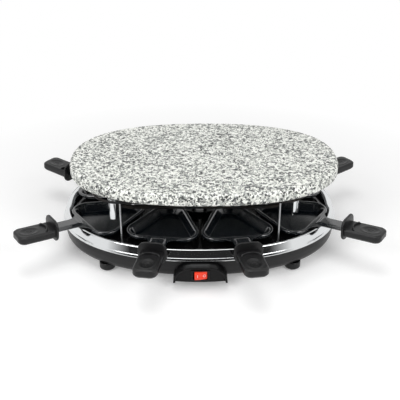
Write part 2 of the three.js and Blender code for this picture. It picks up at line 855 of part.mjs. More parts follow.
// Ceramic block under the hub, with two sockets and two terminal tabs
function terminalBlock() {
  const flangeTop = trayBottom - gap;
  const body = bar(blockRadius, blockBottom, blockTop, 0, 0, 20);
  const flange = bar(blockFlangeRadius, flangeTop - blockFlangeHeight, flangeTop, 0, 0, 20);
  const sockets = [-tubeLegX, tubeLegX].map((x) => (
    bar(tubeRadius + gap, blockTop - socketDepth, blockTop + overrun, x, 0, 12)
  ));
  return cut(join([body, flange]), sockets);
}

place('terminal_block', terminalBlock(), ceramic);
const tabTop = blockBottom - gap;
const tabForm = block(
  [-tabWidth / 2, -tabThick / 2, tabTop - tabLength],
  [tabWidth / 2, tabThick / 2, tabTop],
);
place('terminal_tab_left', tabForm.clone(), steel, [-tubeLegX, 0, 0]);
place('terminal_tab_right', tabForm.clone(), steel, [tubeLegX, 0, 0]);

// Control housing: an arched hood with a recessed face that is open below
function housingBlock(inset, bottom, from, to) {
  const [[side], ...rest] = moved(housingArch, inset);
  const half = [[side, bottom], ...rest];
  const outline = flat([...half, ...half.map(([x, z]) => [-x, z]).reverse()]);
  return drawnOut(outline, to - from).rotateX(Math.PI / 2).translate(0, to, 0);
}

const recessY = -housingFront + recessDepth;
const recessBack = recessY + housingWall;

function controlHousing() {
  const back = -baseWidth / 2 + shellInset;
  const outer = housingBlock(0, housingBottom, -housingFront, back);
  const recess = housingBlock(recessBorder, housingBottom - overrun, -housingFront - overrun, recessY);
  const hollow = housingBlock(housingWall, housingBottom + housingWall, recessBack, back + overrun);
  const opening = block(
    [-switchWidth / 2 - gap, -housingFront, switchZ - switchHeight / 2 - gap],
    [switchWidth / 2 + gap, back, switchZ + switchHeight / 2 + gap],
  );
  return cut(outer, [shellForm(gap), recess, hollow, opening]);
}

place('control_housing', controlHousing(), blackPlastic);

// Switch: a bezel with a box behind it, and a rocker on two pins
const bezelBack = recessY - gap;
const bezelFront = bezelBack - bezelThick;
const pivotY = bezelFront + pivotDepth;

function switchBody() {
  const bezel = block(
    [-bezelWidth / 2, bezelFront, switchZ - bezelHeight / 2],
    [bezelWidth / 2, bezelBack, switchZ + bezelHeight / 2],
  );
  const body = block(
    [-switchWidth / 2, bezelFront + bezelThick / 2, switchZ - switchHeight / 2],
    [switchWidth / 2, bezelFront + switchDepth, switchZ + switchHeight / 2],
  );
  const cavity = block(
    [-rockerWidth / 2 - rockerSide, bezelFront - overrun, switchZ - rockerHeight / 2 - gap],
    [rockerWidth / 2 + rockerSide, pivotY + rockerDepth, switchZ + rockerHeight / 2 + gap],
  );
  const reach = rockerHeight / 2 + rockerPinLength + gap;
  const pinHole = bar(rockerPinRadius + gap, switchZ - reach, switchZ + reach, 0, pivotY, rockerPinSides);
  return cut(join([bezel, body]), [cavity, pinHole]);
}

place('switch_body', switchBody(), blackPlastic);

function rocker() {
  const half = rockerWidth / 2;
  const face = -pivotDepth - rockerStandOut;
  const slope = half * Math.tan(rockerTilt * degree);
  const outline = flat([
    [-half, face + slope], [0, face + slope / 2], [half, face + slope],
    [half, -pivotDepth / 2], [half / 2, rockerDepth / 2], [-half / 2, rockerDepth / 2],
    [-half, -pivotDepth / 2],
  ]);
  const key = drawnOut(outline, rockerHeight).translate(0, 0, -rockerHeight / 2);
  const reach = rockerHeight / 2 + rockerPinLength;
  return join([key, bar(rockerPinRadius, -reach, reach, 0, 0, rockerPinSides)]);
}

place('switch_rocker', rocker(), redPlastic, [0, pivotY, switchZ], rockerTilt * degree);

// Cord inlet: a flanged sleeve through the rear of the shell
const inletFace = outletY + gap;
const inletEnd = outletY - shellWall - inletInside;
place('cord_inlet', turned([
  [inletBore, inletEnd],
  [inletRadius, inletEnd],
  [inletRadius, inletFace],
  [inletFlangeRadius, inletFace],
  [inletFlangeRadius, inletFace + inletFlangeThick],
  [inletRadius, inletFace + inletFlangeThick],
  [inletRadius, inletFace + inletOutside],
  [inletBore, inletFace + inletOutside],
], 16).rotateX(-Math.PI / 2).translate(0, 0, inletZ), blackPlastic);

// Leads on the shell's floor: inlet to block, inlet to switch and switch to block
const laneZ = shellFloor + gap + leadRadius;
const leadTop = tabTop - tabLength + leadLift;
const besideTab = tabThick / 2 + gap + leadRadius;
const switchBack = bezelFront + switchDepth + gap;
const leadRoutes = {
  lead_inlet_to_block: [
    [-leadSpread, inletEnd - gap, inletZ], [-leadSpread, leadTurnY, inletZ], [-leadSpread, leadTurnY, laneZ],
    [-tubeLegX, besideTab, laneZ], [-tubeLegX, besideTab, leadTop],
  ],
  lead_inlet_to_switch: [
    [leadSpread, inletEnd - gap, inletZ], [leadSpread, leadTurnY, inletZ], [leadSpread, leadTurnY, laneZ],
    [leadLane, leadLaneY, laneZ], [leadLane, -leadLaneY, laneZ], [leadAtSwitch, -leadRiseY, laneZ],
    [leadAtSwitch, -leadRiseY, switchZ], [leadAtSwitch, switchBack, switchZ],
  ],
  lead_switch_to_block: [
    [-leadAtSwitch, switchBack, switchZ], [-leadAtSwitch, -leadRiseY, switchZ],
    [-leadAtSwitch, -leadRiseY, laneZ], [tubeLegX, -besideTab, laneZ], [tubeLegX, -besideTab, leadTop],
  ],
};
const leadFinishes = [brownLead, blueLead, whiteLead];
Object.entries(leadRoutes).forEach(([name, route], i) => {
  const path = roundedPath(route.map((point) => vector(...point)), leadBend, arcSteps);
  place(name, tube(path, leadRadius, leadSides), leadFinishes[i]);
});

export default grill;
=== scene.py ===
"""Oval raclette grill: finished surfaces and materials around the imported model.

Everything is in metres in the model's own frame: +Z up, the switch toward -Y.
"""

from functools import cache

import bmesh
import bpy
import numpy as np
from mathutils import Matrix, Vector


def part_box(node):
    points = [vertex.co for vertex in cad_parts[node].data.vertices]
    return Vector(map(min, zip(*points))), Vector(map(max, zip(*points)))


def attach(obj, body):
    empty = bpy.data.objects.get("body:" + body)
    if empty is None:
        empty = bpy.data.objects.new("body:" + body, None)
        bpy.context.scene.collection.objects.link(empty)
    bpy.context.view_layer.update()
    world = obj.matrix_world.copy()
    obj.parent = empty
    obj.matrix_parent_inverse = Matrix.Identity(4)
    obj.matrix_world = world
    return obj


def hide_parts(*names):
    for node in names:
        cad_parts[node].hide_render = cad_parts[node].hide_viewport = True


bl_info = {
    "name": "Raclette grill",
    "version": (1, 0, 0),
    "blender": (4, 5, 0),
    "location": "View3D > Sidebar > Raclette",
    "description": "Builds an oval raclette grill with a granite slab and eight pans",
    "category": "Add Mesh",
}

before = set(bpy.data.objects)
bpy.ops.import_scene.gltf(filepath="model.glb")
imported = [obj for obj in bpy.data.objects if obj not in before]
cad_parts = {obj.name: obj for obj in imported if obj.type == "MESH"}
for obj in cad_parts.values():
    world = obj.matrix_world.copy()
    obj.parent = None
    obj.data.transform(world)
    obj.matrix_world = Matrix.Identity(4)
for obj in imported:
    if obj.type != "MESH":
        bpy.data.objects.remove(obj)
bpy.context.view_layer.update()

MM = 0.001
WELD, SLIVER = 2e-6, 1e-7  # metres below which points are joined and edges are taken out
FULL_TURN = 2 * np.pi
ENDS = ("front_left", "front_right", "rear_right", "rear_left")
SIDES = (("front", -1), ("rear", 1))
HANDS = (("left", -1), ("right", 1))

# Sizes that several pieces share, in millimetres, with wires by their radius
SHEET = 1.2
TRAY_TOP = 45.1
SWITCH_HEIGHT = 24.7
INLET_HEIGHT = 24
FRONT_SEAT, SIDE_SEAT = (60, 124.5), (180.5, 73.2)
PAN_RIM, ARM_TOP, ARM_LENGTH, TILT = 59.5, 59.2, 47.5, np.radians(4)
GUARD_END, GRIP_LOW = ARM_LENGTH + 3.5, PAN_RIM - 9.5
RACK_WIRE, ROD_WIRE, HEATER_WIRE, HEATER_LEVEL = 2, 1.5, 3.25, 100


def linear(code):
    """Turn an sRGB hex value into a linear colour with full alpha."""
    srgb = np.array([int(code[i : i + 2], 16) for i in (1, 3, 5)]) / 255
    value = np.where(srgb <= 0.04045, srgb / 12.92, ((srgb + 0.055) / 1.055) ** 2.4)
    return (*value.tolist(), 1.0)


def shade(tone, factor):
    """A colour made darker or paler by a factor, with full alpha."""
    return (*(min(1.0, value * factor) for value in tone[:3]), 1.0)


def size(name, description, millimetres):
    """A length that a user may change, given here in millimetres."""
    return bpy.props.FloatProperty(
        name=name, description=description, default=millimetres * MM, min=0, unit="LENGTH", precision=4
    )


def number(name, description, value):
    """A plain number that a user may change."""
    return bpy.props.FloatProperty(name=name, description=description, default=value, min=0)


def turn(name, description, degrees):
    """An angle that a user may change, given here in degrees."""
    return bpy.props.FloatProperty(
        name=name, description=description, default=np.radians(degrees), subtype="ANGLE", unit="ROTATION"
    )


def colour(name, description, code):
    """A colour that a user may change, given here as sRGB hex."""
    return bpy.props.FloatVectorProperty(
        name=name, description=description, subtype="COLOR", size=4, min=0, max=1, default=linear(code)
    )


def span(node, axis=2):
    """Where a node of the model starts and ends along one axis, in millimetres."""
    return [place[axis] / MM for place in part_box(node)]


def extent(node, axis):
    """How long a node of the model is along one axis, in millimetres."""
    low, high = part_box(node)
    return (high[axis] - low[axis]) / MM


def middle(node, axes=2):
    """The middle of a node of the model from above, or in all three axes, in millimetres."""
    low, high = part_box(node)
    return np.array((low + high) / 2)[:axes] / MM


# Shapes: arrays of points, and the meshes made of them


def rounded(corners, radius, steps=5, closed=True):
    """Round the corners of a line of points with arcs that touch both sides of each corner.

    An arc from A to B around the corner P is ((1-t)^2 A + 2 w t (1-t) P + t^2 B) over the same
    sum of the weights, where w is the sine of half the corner's angle.
    """
    at = np.asarray(corners, float)
    back, on = np.roll(at, 1, 0) - at, np.roll(at, -1, 0) - at
    long_back = np.linalg.norm(back, axis=1)
    long_on = np.linalg.norm(on, axis=1)
    cosine = np.clip((back * on).sum(1) / (long_back * long_on), -1, 1)
    half = np.arccos(cosine) / 2
    reach = np.minimum(radius / np.tan(half), 0.49 * np.minimum(long_back, long_on))
    start = at + back / long_back[:, None] * reach[:, None]
    end = at + on / long_on[:, None] * reach[:, None]
    t = np.linspace(0, 1, steps + 1)[None, :, None]
    first, bend, last = (1 - t) ** 2, 2 * np.sin(half)[:, None, None] * t * (1 - t), t**2
    arc = (first * start[:, None] + bend * at[:, None] + last * end[:, None]) / (first + bend + last)
    if closed:
        return arc.reshape(-1, at.shape[1])
    return np.concatenate([at[:1], arc[1:-1].reshape(-1, at.shape[1]), at[-1:]])


def finer(line, step, closed=False):
    """Points along a line at even steps of arc length, found by interpolation along its length."""
    at = np.asarray(line, float)
    if closed:
        at = np.concatenate([at, at[:1]])
    run = np.concatenate([[0], np.cumsum(np.linalg.norm(np.diff(at, axis=0), axis=1))])
    count = max(int(np.ceil(run[-1] / step)), 2)
    places = np.linspace(0, run[-1], count + 1)
    if closed:
        places = places[:-1]
    return np.stack([np.interp(places, run, at[:, i]) for i in range(at.shape[1])], axis=1)


def sideways(step):
    """Unit normals to the left of the steps along a flat line."""
    step = step / np.linalg.norm(step, axis=1, keepdims=True)
    return np.stack([-step[:, 1], step[:, 0]], axis=1)


def moved(line, distance):
    """An open flat line moved sideways: each point goes along the line's normal by the distance."""
    return line + distance * sideways(np.gradient(line, axis=0))


def skin_of(line, wall):
    """A closed section: the line, and back along the same line moved sideways by the wall."""
    return np.concatenate([line, moved(line, wall)[::-1]])


def smooth(value):
    """Rise from 0 to 1 with level ends: 3 v^2 - 2 v^3, with v held between 0 and 1."""
    held = np.clip(value, 0, 1)
    return held * held * (3 - 2 * held)


def capped(grid):
    """Close a grid's two ends: a row is added at each end with all its points at the row's middle."""
    low, high = (np.broadcast_to(row.mean(axis=1, keepdims=True), row.shape) for row in (grid[:1], grid[-1:]))
    return np.concatenate([low, grid, high])


def lifted(flat, heights):
    """Rows of flat points, each row at its own height, as one grid."""
    height = np.broadcast_to(np.asarray(heights)[:, None, None], (*flat.shape[:2], 1))
    return np.concatenate([flat, height], axis=2)


def oval_skin(section, length, width, power, centre=(0, 0), steps=200):
    """Carry a section of (inset, height) round a superellipse, x = a |cos|^(2/n), y = b |sin|^(2/n),
    where both half sizes a and b are less by the inset."""
    angle = np.linspace(0, FULL_TURN, steps, endpoint=False)
    way = np.stack([np.cos(angle), np.sin(angle)], axis=1)
    reach = np.sign(way) * np.abs(way) ** (2 / power)
    section = np.asarray(section, float)
    half = np.array([length, width]) / 2 - section[:, None, :1]
    return lifted(half * reach + np.asarray(centre), section[:, 1])


def turned(section, centre=(0, 0), steps=72, start=0, share=1):
    """Turn a section of (radius, height) about an upright axis, all the way or by a share of a turn."""
    section = np.asarray(section, float)
    angle = start + np.linspace(0, share * FULL_TURN, steps, endpoint=share < 1)[:, None]
    x = centre[0] + section[:, 0] * np.cos(angle)
    y = centre[1] + section[:, 0] * np.sin(angle)
    return np.stack([x, y, np.broadcast_to(section[:, 1], x.shape)], axis=2)


def tube(path, radius, sides=16, closed=False):
    """Carry a circle along a path: point + r cos a n + r sin a b, with n and b square to the path."""
    path = np.asarray(path, float)
    along = np.roll(path, -1, 0) - np.roll(path, 1, 0)
    if not closed:
        along[0], along[-1] = path[1] - path[0], path[-1] - path[-2]
    along /= np.linalg.norm(along, axis=1, keepdims=True)
    slant = np.array([0.48, 0.62, 0.62])  # a direction that no path here follows
    across = np.cross(along, slant)
    across /= np.linalg.norm(across, axis=1, keepdims=True)
    side = np.cross(along, across)
    angle = np.linspace(0, FULL_TURN, sides, endpoint=False)[None, :, None]
    grid = path[:, None] + radius * (np.cos(angle) * across[:, None] + np.sin(angle) * side[:, None])
    return grid if closed else capped(grid)


def prism(outline, section):
    """Carry a section of (inset, height) round a closed flat outline, whose points move inwards
    along the outline's normals by the inset, and close it at both ends."""
    outline, section = np.asarray(outline, float), np.asarray(section, float)
    inward = sideways(np.roll(outline, -1, 0) - np.roll(outline, 1, 0))
    return capped(lifted(outline + section[:, None, :1] * inward, section[:, 1]))


def soft_edges(depth, edge, low=0, steps=4):
    """A section for a prism with rounded edges: inset e (1 - sin a) at height e (1 - cos a)."""
    angle = np.linspace(0, np.pi / 2, steps)
    inset, rise = edge * (1 - np.sin(angle)), edge * (1 - np.cos(angle))
    up = np.stack([inset, low + rise], axis=1)
    return np.concatenate([up, np.stack([inset, low + depth - rise], axis=1)[::-1]])


def rectangle(width, height, radius, steps=6):
    """The outline of a rectangle with round corners, about the origin."""
    x, y = width / 2, height / 2
    return rounded([[x, -y], [x, y], [-x, y], [-x, -y]], radius, steps)


def band(inner, outer, low, high, radius, steps=3):
    """A rectangle with round corners between two places along each of its axes."""
    return rounded([[inner, low], [outer, low], [outer, high], [inner, high]], radius, steps)


def spun(grid, angle=0.0, place=(0, 0, 0)):
    """A grid turned about the upright axis and then moved."""
    cosine, sine = np.cos(angle), np.sin(angle)
    x, y, z = np.moveaxis(grid, -1, 0)
    return np.stack([cosine * x - sine * y, sine * x + cosine * y, z], axis=-1) + np.asarray(place)


def facing_front(grid, height=0):
    """A grid drawn out along z laid over, so that its z runs toward -Y and its y upwards."""
    return np.stack([grid[..., 0], -grid[..., 2], height + grid[..., 1]], axis=-1)


def facing_out(grid):
    """A grid drawn out along z laid over, so that its z runs along +X, its x along Y and its y upwards."""
    return np.stack([grid[..., 2], grid[..., 0], grid[..., 1]], axis=-1)


def laid(grid, height):
    """A grid turned about the upright axis laid over, so that its axis runs along +Y at a height."""
    return np.stack([grid[..., 0], grid[..., 2], height - grid[..., 1]], axis=-1)


def frames(rows, steps=4):
    """Loops of rectangles with round corners from rows of (width, height, corner radius, place)."""
    loops = [rectangle(width, height, radius, steps) for width, height, radius, _ in rows]
    return capped(lifted(np.stack(loops), [place for *_, place in rows]))


def quads(rows, columns, closed):
    """Corners of the quads of a grid of points whose columns join round, and whose rows may too."""
    row, column = (index.ravel() for index in np.indices((rows if closed else rows - 1, columns)))
    here, ahead = row * columns, (row + 1) % rows * columns
    after = (column + 1) % columns
    return np.stack([here + column, here + after, ahead + after, ahead + column], axis=1)


def make(name, grids, look, body, stands_for=(), sharp=32, holes=()):
    """Join grids into one mesh at the origin, weld it, face it outwards, and put it on its body.

    Each grid is (points in millimetres, whether its last row joins its first).
    """
    points, faces, count = [], [], 0
    for grid, closed in grids:
        points.append(grid.reshape(-1, 3) * MM)
        faces.append(quads(*grid.shape[:2], closed) + count)
        count += len(points[-1])
    mesh = bpy.data.meshes.new(name)
    mesh.from_pydata(np.concatenate(points).tolist(), [], np.concatenate(faces).tolist())
    work = bmesh.new()
    work.from_mesh(mesh)
    bmesh.ops.remove_doubles(work, verts=work.verts, dist=WELD)
    bmesh.ops.dissolve_degenerate(work, edges=work.edges, dist=SLIVER)
    bmesh.ops.recalc_face_normals(work, faces=work.faces)
    work.to_mesh(mesh)
    work.free()
    thing = bpy.data.objects.new(name, mesh)
    bpy.context.scene.collection.objects.link(thing)
    drill(thing, holes)
    thing.data.materials.append(look)
    thing.data.shade_smooth()
    thing.data.set_sharp_from_angle(angle=np.radians(sharp))
    if body:
        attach(thing, body)
        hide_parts(*stands_for)
    return thing


def drill(thing, holes):
    """Cut closed grids out of a mesh."""
    for i, grids in enumerate(holes):
        cutter = make(f"cutter_{i}", [grids], None, None)
        step = thing.modifiers.new("hole", "BOOLEAN")
        step.operation, step.solver, step.object = "DIFFERENCE", "EXACT", cutter
        bpy.context.view_layer.update()
        seen = thing.evaluated_get(bpy.context.evaluated_depsgraph_get())
        cut = bpy.data.meshes.new_from_object(seen)
        thing.modifiers.clear()
        thing.data = cut
        bpy.data.objects.remove(cutter)


# Materials

RANGE = ("From Min", "From Max", "To Min", "To Max")
WHITE = (1.0, 1.0, 1.0, 1.0)


def add(tree, kind, values=(), links=(), out=0, stops=(), **fields):
    """Add one node and return one of its outputs: fields are its settings, stops are the
    (place, colour) pairs of a colour ramp, values fill its sockets, and links feed its sockets."""
    node = tree.nodes.new("ShaderNode" + kind)
    for key, value in fields.items():
        setattr(node, key, value)
    for socket, value in dict(values).items():
        node.inputs[socket].default_value = value
    for socket, source in dict(links).items():
        tree.links.new(source, node.inputs[socket])
    for place, tone in stops[1:-1]:
        node.color_ramp.elements.new(place).color = tone
    for end in (0, -1) if stops else ():
        element = node.color_ramp.elements[end]
        element.position, element.color = stops[end]
    return node.outputs[out] if node.outputs else None


def emptied(thing):
    """The node tree of a material or a world without its nodes."""
    thing.use_nodes = True
    thing.node_tree.nodes.clear()
    return thing.node_tree


def begin(name, patterns=(), **sockets):
    """A material with one Principled shader. Returns it with its Object coordinates and its cloudy
    patterns, each given by the size of its patches in millimetres and its detail."""
    look = bpy.data.materials.new(name)
    tree = emptied(look)
    shader = add(tree, "BsdfPrincipled", {key.replace("_", " "): value for key, value in sockets.items()})
    add(tree, "OutputMaterial", links={"Surface": shader})
    place = add(tree, "TexCoord", out="Object")
    clouds = [
        add(tree, "TexNoise", {"Scale": 1 / (patch * MM), "Detail": detail}, {"Vector": place})
        for patch, detail in patterns
    ]
    return look, place, *clouds


def finish(look, tones=(), rough=(), relief=(), **fed):
    """Let patterns drive a surface, and return it.

    Tones are a pattern and its (level, colour) stops. Rough is a pattern, two of its levels and the
    roughness there. Relief is a pattern, its strength and its height in millimetres. What else is
    fed goes to the shader's socket of that name.
    """
    tree = look.node_tree
    if tones:
        fed["Base_Color"] = add(tree, "ValToRGB", links={0: tones[0]}, stops=tones[1:])
    if rough:
        fed["Roughness"] = add(tree, "MapRange", zip(RANGE, rough[1:]), {"Value": rough[0]})
    if relief:
        height, strength, depth = relief
        fed["Normal"] = add(tree, "Bump", {"Strength": strength, "Distance": depth * MM}, {"Height": height})
    for socket, source in fed.items():
        tree.links.new(source, tree.nodes["Principled BSDF"].inputs[socket.replace("_", " ")])
    return look


def polished_granite(settings):
    """Light granite, ground flat and polished: pale feldspar and quartz grains with dark mica flakes,
    so the eye sees a speckle from grey to white with small black points, under a soft gloss."""
    grain = settings.grain
    ragged_edge, region, flake, flake_share = 1.3 * grain, grain / 0.13, grain / 1.8, 0.13
    look, place, drift = begin("polished granite", [(region / MM, 2)])
    tree = look.node_tree
    wander = add(tree, "TexNoise", {"Scale": 1.1 / grain, "Detail": 3.0}, {"Vector": place}, "Color")
    shift = add(tree, "VectorMath", {1: (0.5, 0.5, 0.5)}, {0: wander}, operation="SUBTRACT")
    small = add(tree, "VectorMath", {"Scale": ragged_edge}, {0: shift}, operation="SCALE")
    ragged = add(tree, "VectorMath", links={0: place, 1: small}, operation="ADD")
    cells = add(tree, "TexVoronoi", {"Scale": 1 / grain}, {"Vector": ragged}, "Color")
    chance = add(tree, "SeparateColor", links={0: cells})
    lean = add(tree, "MapRange", zip(RANGE, (0.3, 0.7, -0.09, 0.09)), {"Value": drift})
    mixed = add(tree, "Math", links={0: chance, 1: lean}, operation="ADD")
    stops = [
        (0.0, linear("#4a4c4c")), (0.1, linear("#808381")), (0.22, linear("#b3b6b1")),
        (0.38, settings.pale), (0.62, linear("#f6f7f1")),
    ]
    grains = add(tree, "ValToRGB", links={0: mixed}, stops=stops)
    grains.node.color_ramp.interpolation = "CONSTANT"
    flakes = add(tree, "TexVoronoi", {"Scale": 1 / flake}, {"Vector": ragged}, "Color")
    rare = add(tree, "SeparateColor", links={0: flakes}, out=1)
    where = add(tree, "Math", {1: flake_share}, {0: rare}, operation="LESS_THAN")
    speckle = add(tree, "Mix", {7: settings.dark}, {0: where, 6: grains}, 2, data_type="RGBA")
    return finish(look, rough=(chance, 0, 1, 0.5, 0.32), relief=(chance, 0.25, 0.15), Base_Color=speckle)


@cache
def mirror_chrome():
    """Chromed sheet steel, pressed and polished: a mirror with very faint waves from the press."""
    look, _, waves, haze = begin(
        "chromed steel", [(71.43, 1), (4.167, 3)], Metallic=1.0, Base_Color=linear("#dcdedf")
    )
    return finish(look, rough=(haze, 0.35, 0.65, 0.05, 0.11), relief=(waves, 0.03, 1))


@cache
def drawn_steel():
    """Drawn and plated steel: a soft shine with fine scratches along its length. The scratches are
    drawn about 1 mm apart so that they show."""
    look, _, scratches, dull = begin("drawn steel wire", [(1.111, 2), (11.11, 2)], Metallic=1.0)
    tone = linear("#b9babb")
    tones = (dull, (0.3, shade(tone, 0.72)), (0.7, tone))
    return finish(look, tones, (scratches, 0.3, 0.7, 0.24, 0.4), (scratches, 0.15, 0.1))


@cache
def moulded_plastic(name, tone, low=0.3, high=0.42, shine=0.34):
    """Heat-proof plastic moulded in a spark-eroded tool: matte with a fine even grain. The real
    grain is about 0.2 mm and is drawn at 1.1 mm so that it shows."""
    look, _, fine, wide = begin(name, [(1.1, 3), (28.57, 2)], Specular_IOR_Level=shine)
    tones = (wide, (0.35, shade(tone, 0.9)), (0.65, tone))
    return finish(look, tones, (fine, 0.3, 0.7, low, high), (fine, 0.15, 0.1))


def coated_steel(tone):
    """Steel sheet sprayed with a dark non-stick coating: satin, with the spray's fine pebbling
    and a few paler specks, and glossier along the turned-down rim, where it is thick and rubbed."""
    look, place, spray = begin(
        "non-stick coating", [(1.4286, 3)], Specular_IOR_Level=0.34, Coat_Roughness=0.07, Coat_IOR=2.1
    )
    tree = look.node_tree
    dull_below, rubbed_above, speck = 48 * MM, 62 * MM, 2.381 * MM
    height = add(tree, "SeparateXYZ", links={0: place}, out="Z")
    level = add(tree, "MapRange", zip(RANGE, (dull_below, rubbed_above, 0, 1)), {"Value": height})
    weights = ((0, 0.05), (0.4, 0.6), (0.75, 0.6), (0.84, 0.5))
    stops = [(at, shade(WHITE, weight)) for at, weight in weights]
    gloss = add(tree, "ValToRGB", links={0: level}, stops=stops)
    specks = add(tree, "TexVoronoi", {"Scale": 1 / speck}, {"Vector": place}, "Distance")
    tones = (specks, (0.05, shade(tone, 1.6)), (0.2, tone))
    return finish(look, tones, (spray, 0.3, 0.7, 0.15, 0.24), (spray, 0.12, 0.1), Coat_Weight=gloss)


@cache
def gloss_enamel(tone):
    """Sheet steel under stoved black enamel: a deep gloss with a slight orange peel."""
    look, _, peel, dust = begin(
        "black enamel", [(3.846, 2), (25, 4)], Base_Color=tone, Specular_IOR_Level=0.6
    )
    return finish(look, rough=(dust, 0.35, 0.7, 0.1, 0.22), relief=(peel, 0.2, 0.2))


def heat_tint_and_shade_steel():
    """Stainless tube with brown and blue-grey heat-tint patches under a dull shine. Its tones are darker
    than the tint alone: painted shade for the shadow under the slab.
    """
    look, _, patches = begin("heat-darkened steel", [(26.32, 4)], Metallic=0.9)
    # Heat tint, darkened further as painted shade for the shadow under the slab
    tones = (patches, (0.3, linear("#1e1d1c")), (0.5, linear("#2c2927")), (0.7, linear("#25272a")))
    return finish(look, tones, (patches, 0.3, 0.7, 0.35, 0.55))


def lit_plastic(tone, glow):
    """Clear red plastic with a small lamp behind it: glossy, and glowing evenly in its own colour."""
    look, _, ripples = begin(
        "lit red plastic", [(3.333, 1)], Roughness=0.2, Base_Color=tone, Emission_Color=tone,
        Emission_Strength=glow, Subsurface_Weight=0.2, Subsurface_Scale=0.002,
    )
    return finish(look, relief=(ripples, 0.1, 0.2))


def plain(name, code, roughness):
    """A plain body with a fine mottle in its colour and surface, for rubber, ceramic, insulation
    and print."""
    look, _, mottle = begin(name, [(2, 3)], Roughness=roughness)
    tone = linear(code)
    return finish(look, (mottle, (0.3, shade(tone, 0.75)), (0.7, tone)), relief=(mottle, 0.2, 0.2))


def black_plastic(context):
    """The plastic of the shell, the feet, the inlet and the handles."""
    return moulded_plastic("moulded black plastic", tuple(context.scene.grill_base.shell))


def dress(nodes, look):
    """Give nodes of the model a finished material."""
    for name in nodes:
        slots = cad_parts[name].data.materials
        slots.clear()
        slots.append(look)


# Sizes and colours that a user may change


class SlabSettings(bpy.types.PropertyGroup):
    length: size("Length", "Length of the slab from left to right", extent("granite_slab", 0))
    width: size("Width", "Width of the slab from front to rear", extent("granite_slab", 1))
    thickness: size("Thickness", "Thickness of the slab", extent("granite_slab", 2))
    power: number("Squareness", "Exponent of the oval: 2 is an ellipse, more is squarer", 2.35)
    edge: size("Edge", "Radius of the ground edge", 4.5)
    grain: size("Grain", "Size of the pale grains", 3.2)
    pale: colour("Pale grains", "Colour of the commonest grains", "#dadcd5")
    dark: colour("Dark flakes", "Colour of the mica flakes", "#2c2e2d")


class BaseSettings(bpy.types.PropertyGroup):
    length: size("Length", "Length of the oval base over the ring", extent("trim_ring", 0))
    width: size("Width", "Width of the oval base over the ring", extent("trim_ring", 1))
    power: number("Squareness", "Exponent of the oval: 2 is an ellipse, more is squarer", 2.2)
    shell: colour("Shell", "Colour of the moulded shell and handles", "#161617")
    enamel: colour("Tray", "Colour of the enamelled tray and hub", "#0b0b0c")


class PanSettings(bpy.types.PropertyGroup):
    width: size("Width", "Width of a pan at its outer side", 110)
    depth: size("Depth", "Depth of a pan toward the hub", 108)
    near: size("Outer corners", "Radius of the two outer corners", 24)
    far: size("Inner end", "Radius of the inner end", 27.5)
    front_splay: turn("Front splay", "How far the front handles turn outwards", 9)
    side_splay: turn("Side splay", "How far the side handles turn to the front or rear", 34)
    coating: colour("Coating", "Colour of the non-stick coating", "#0b1015")


class HandleSettings(bpy.types.PropertyGroup):
    length: size("Grip length", "Length of the grip behind its guard", 55.5)
    width: size("Grip width", "Width of the grip", 35)
    thickness: size("Grip thickness", "Thickness of the grip", 13)
    rib: size("Rib", "Height of the thumb rib", 3)


class RackSettings(bpy.types.PropertyGroup):
    length: size("Length", "Length of the wire rack", extent("rack_frame", 0) - 2 * RACK_WIRE)
    width: size("Width", "Width of the wire rack", extent("rack_frame", 1) - 2 * RACK_WIRE)
    corner: size("Corner", "Radius of the rack's corners", 42)
    heater_length: size(
        "Heater length", "Length of the heating loop", extent("heating_element", 0) - 2 * HEATER_WIRE
    )
    heater_width: size(
        "Heater width", "Width of the heating loop", extent("heating_element", 1) - 2 * HEATER_WIRE
    )


class SwitchSettings(bpy.types.PropertyGroup):
    red: colour("Rocker", "Colour of the lit rocker", "#e8391b")
    glow: number("Glow", "How strongly the rocker is lit from behind", 0.16)


class StageSettings(bpy.types.PropertyGroup):
    floor: colour("Floor", "Colour of the floor", "#f1f1f1")
    light: number("Light", "Power of the overhead light in watts", 4.4)
    front: number("Front", "Power of each of the two front softboxes in watts", 6)
    white: number("White", "How much the floor is lifted where it is seen", 0.21)


# Pieces


class GRILL_OT_slab(bpy.types.Operator):
    """Granite slab with ground edges, and the four half-round posts under it"""

    bl_idname = "grill.slab"
    bl_label = "Granite slab"

    def execute(self, context):
        use = context.scene.grill_slab
        centre = middle("granite_slab", 3)
        width, edge, thick = use.width / MM, use.edge / MM, use.thickness / MM
        section = soft_edges(thick, edge, centre[2] - thick / 2, 8)
        inner = np.linspace(0, 1, 8)[1:-1, None] * [[width / 2 - edge, 0]]
        section = np.concatenate([section[:1] + inner[::-1], section, section[-1:] + inner])
        grid = capped(oval_skin(section, use.length / MM, width, use.power, centre[:2]))
        granite = polished_granite(use)
        make("polished_slab", [(grid, False)], granite, "slab", ["granite_slab"], 50)
        half_turns = {"front_left": 1, "front_right": 0.25, "rear_right": 0, "rear_left": -0.25}
        inner, outer, plate = 5.3, 6.3, 7.5
        for end in ENDS:
            node = f"slab_post_{end}"
            at = middle(node)
            bottom, top = span(node)
            half = turned(band(inner, outer, bottom, top - 1, 0.4), at, 28, half_turns[end] * np.pi, 0.5)
            foot = turned(band(0.1, plate, top - 1.6, top, 0.5), at, 40)
            grids = [(capped(half), False), (foot, True)]
            make(f"half_round_post_{end}", grids, mirror_chrome(), "slab", [node])
        return {"FINISHED"}


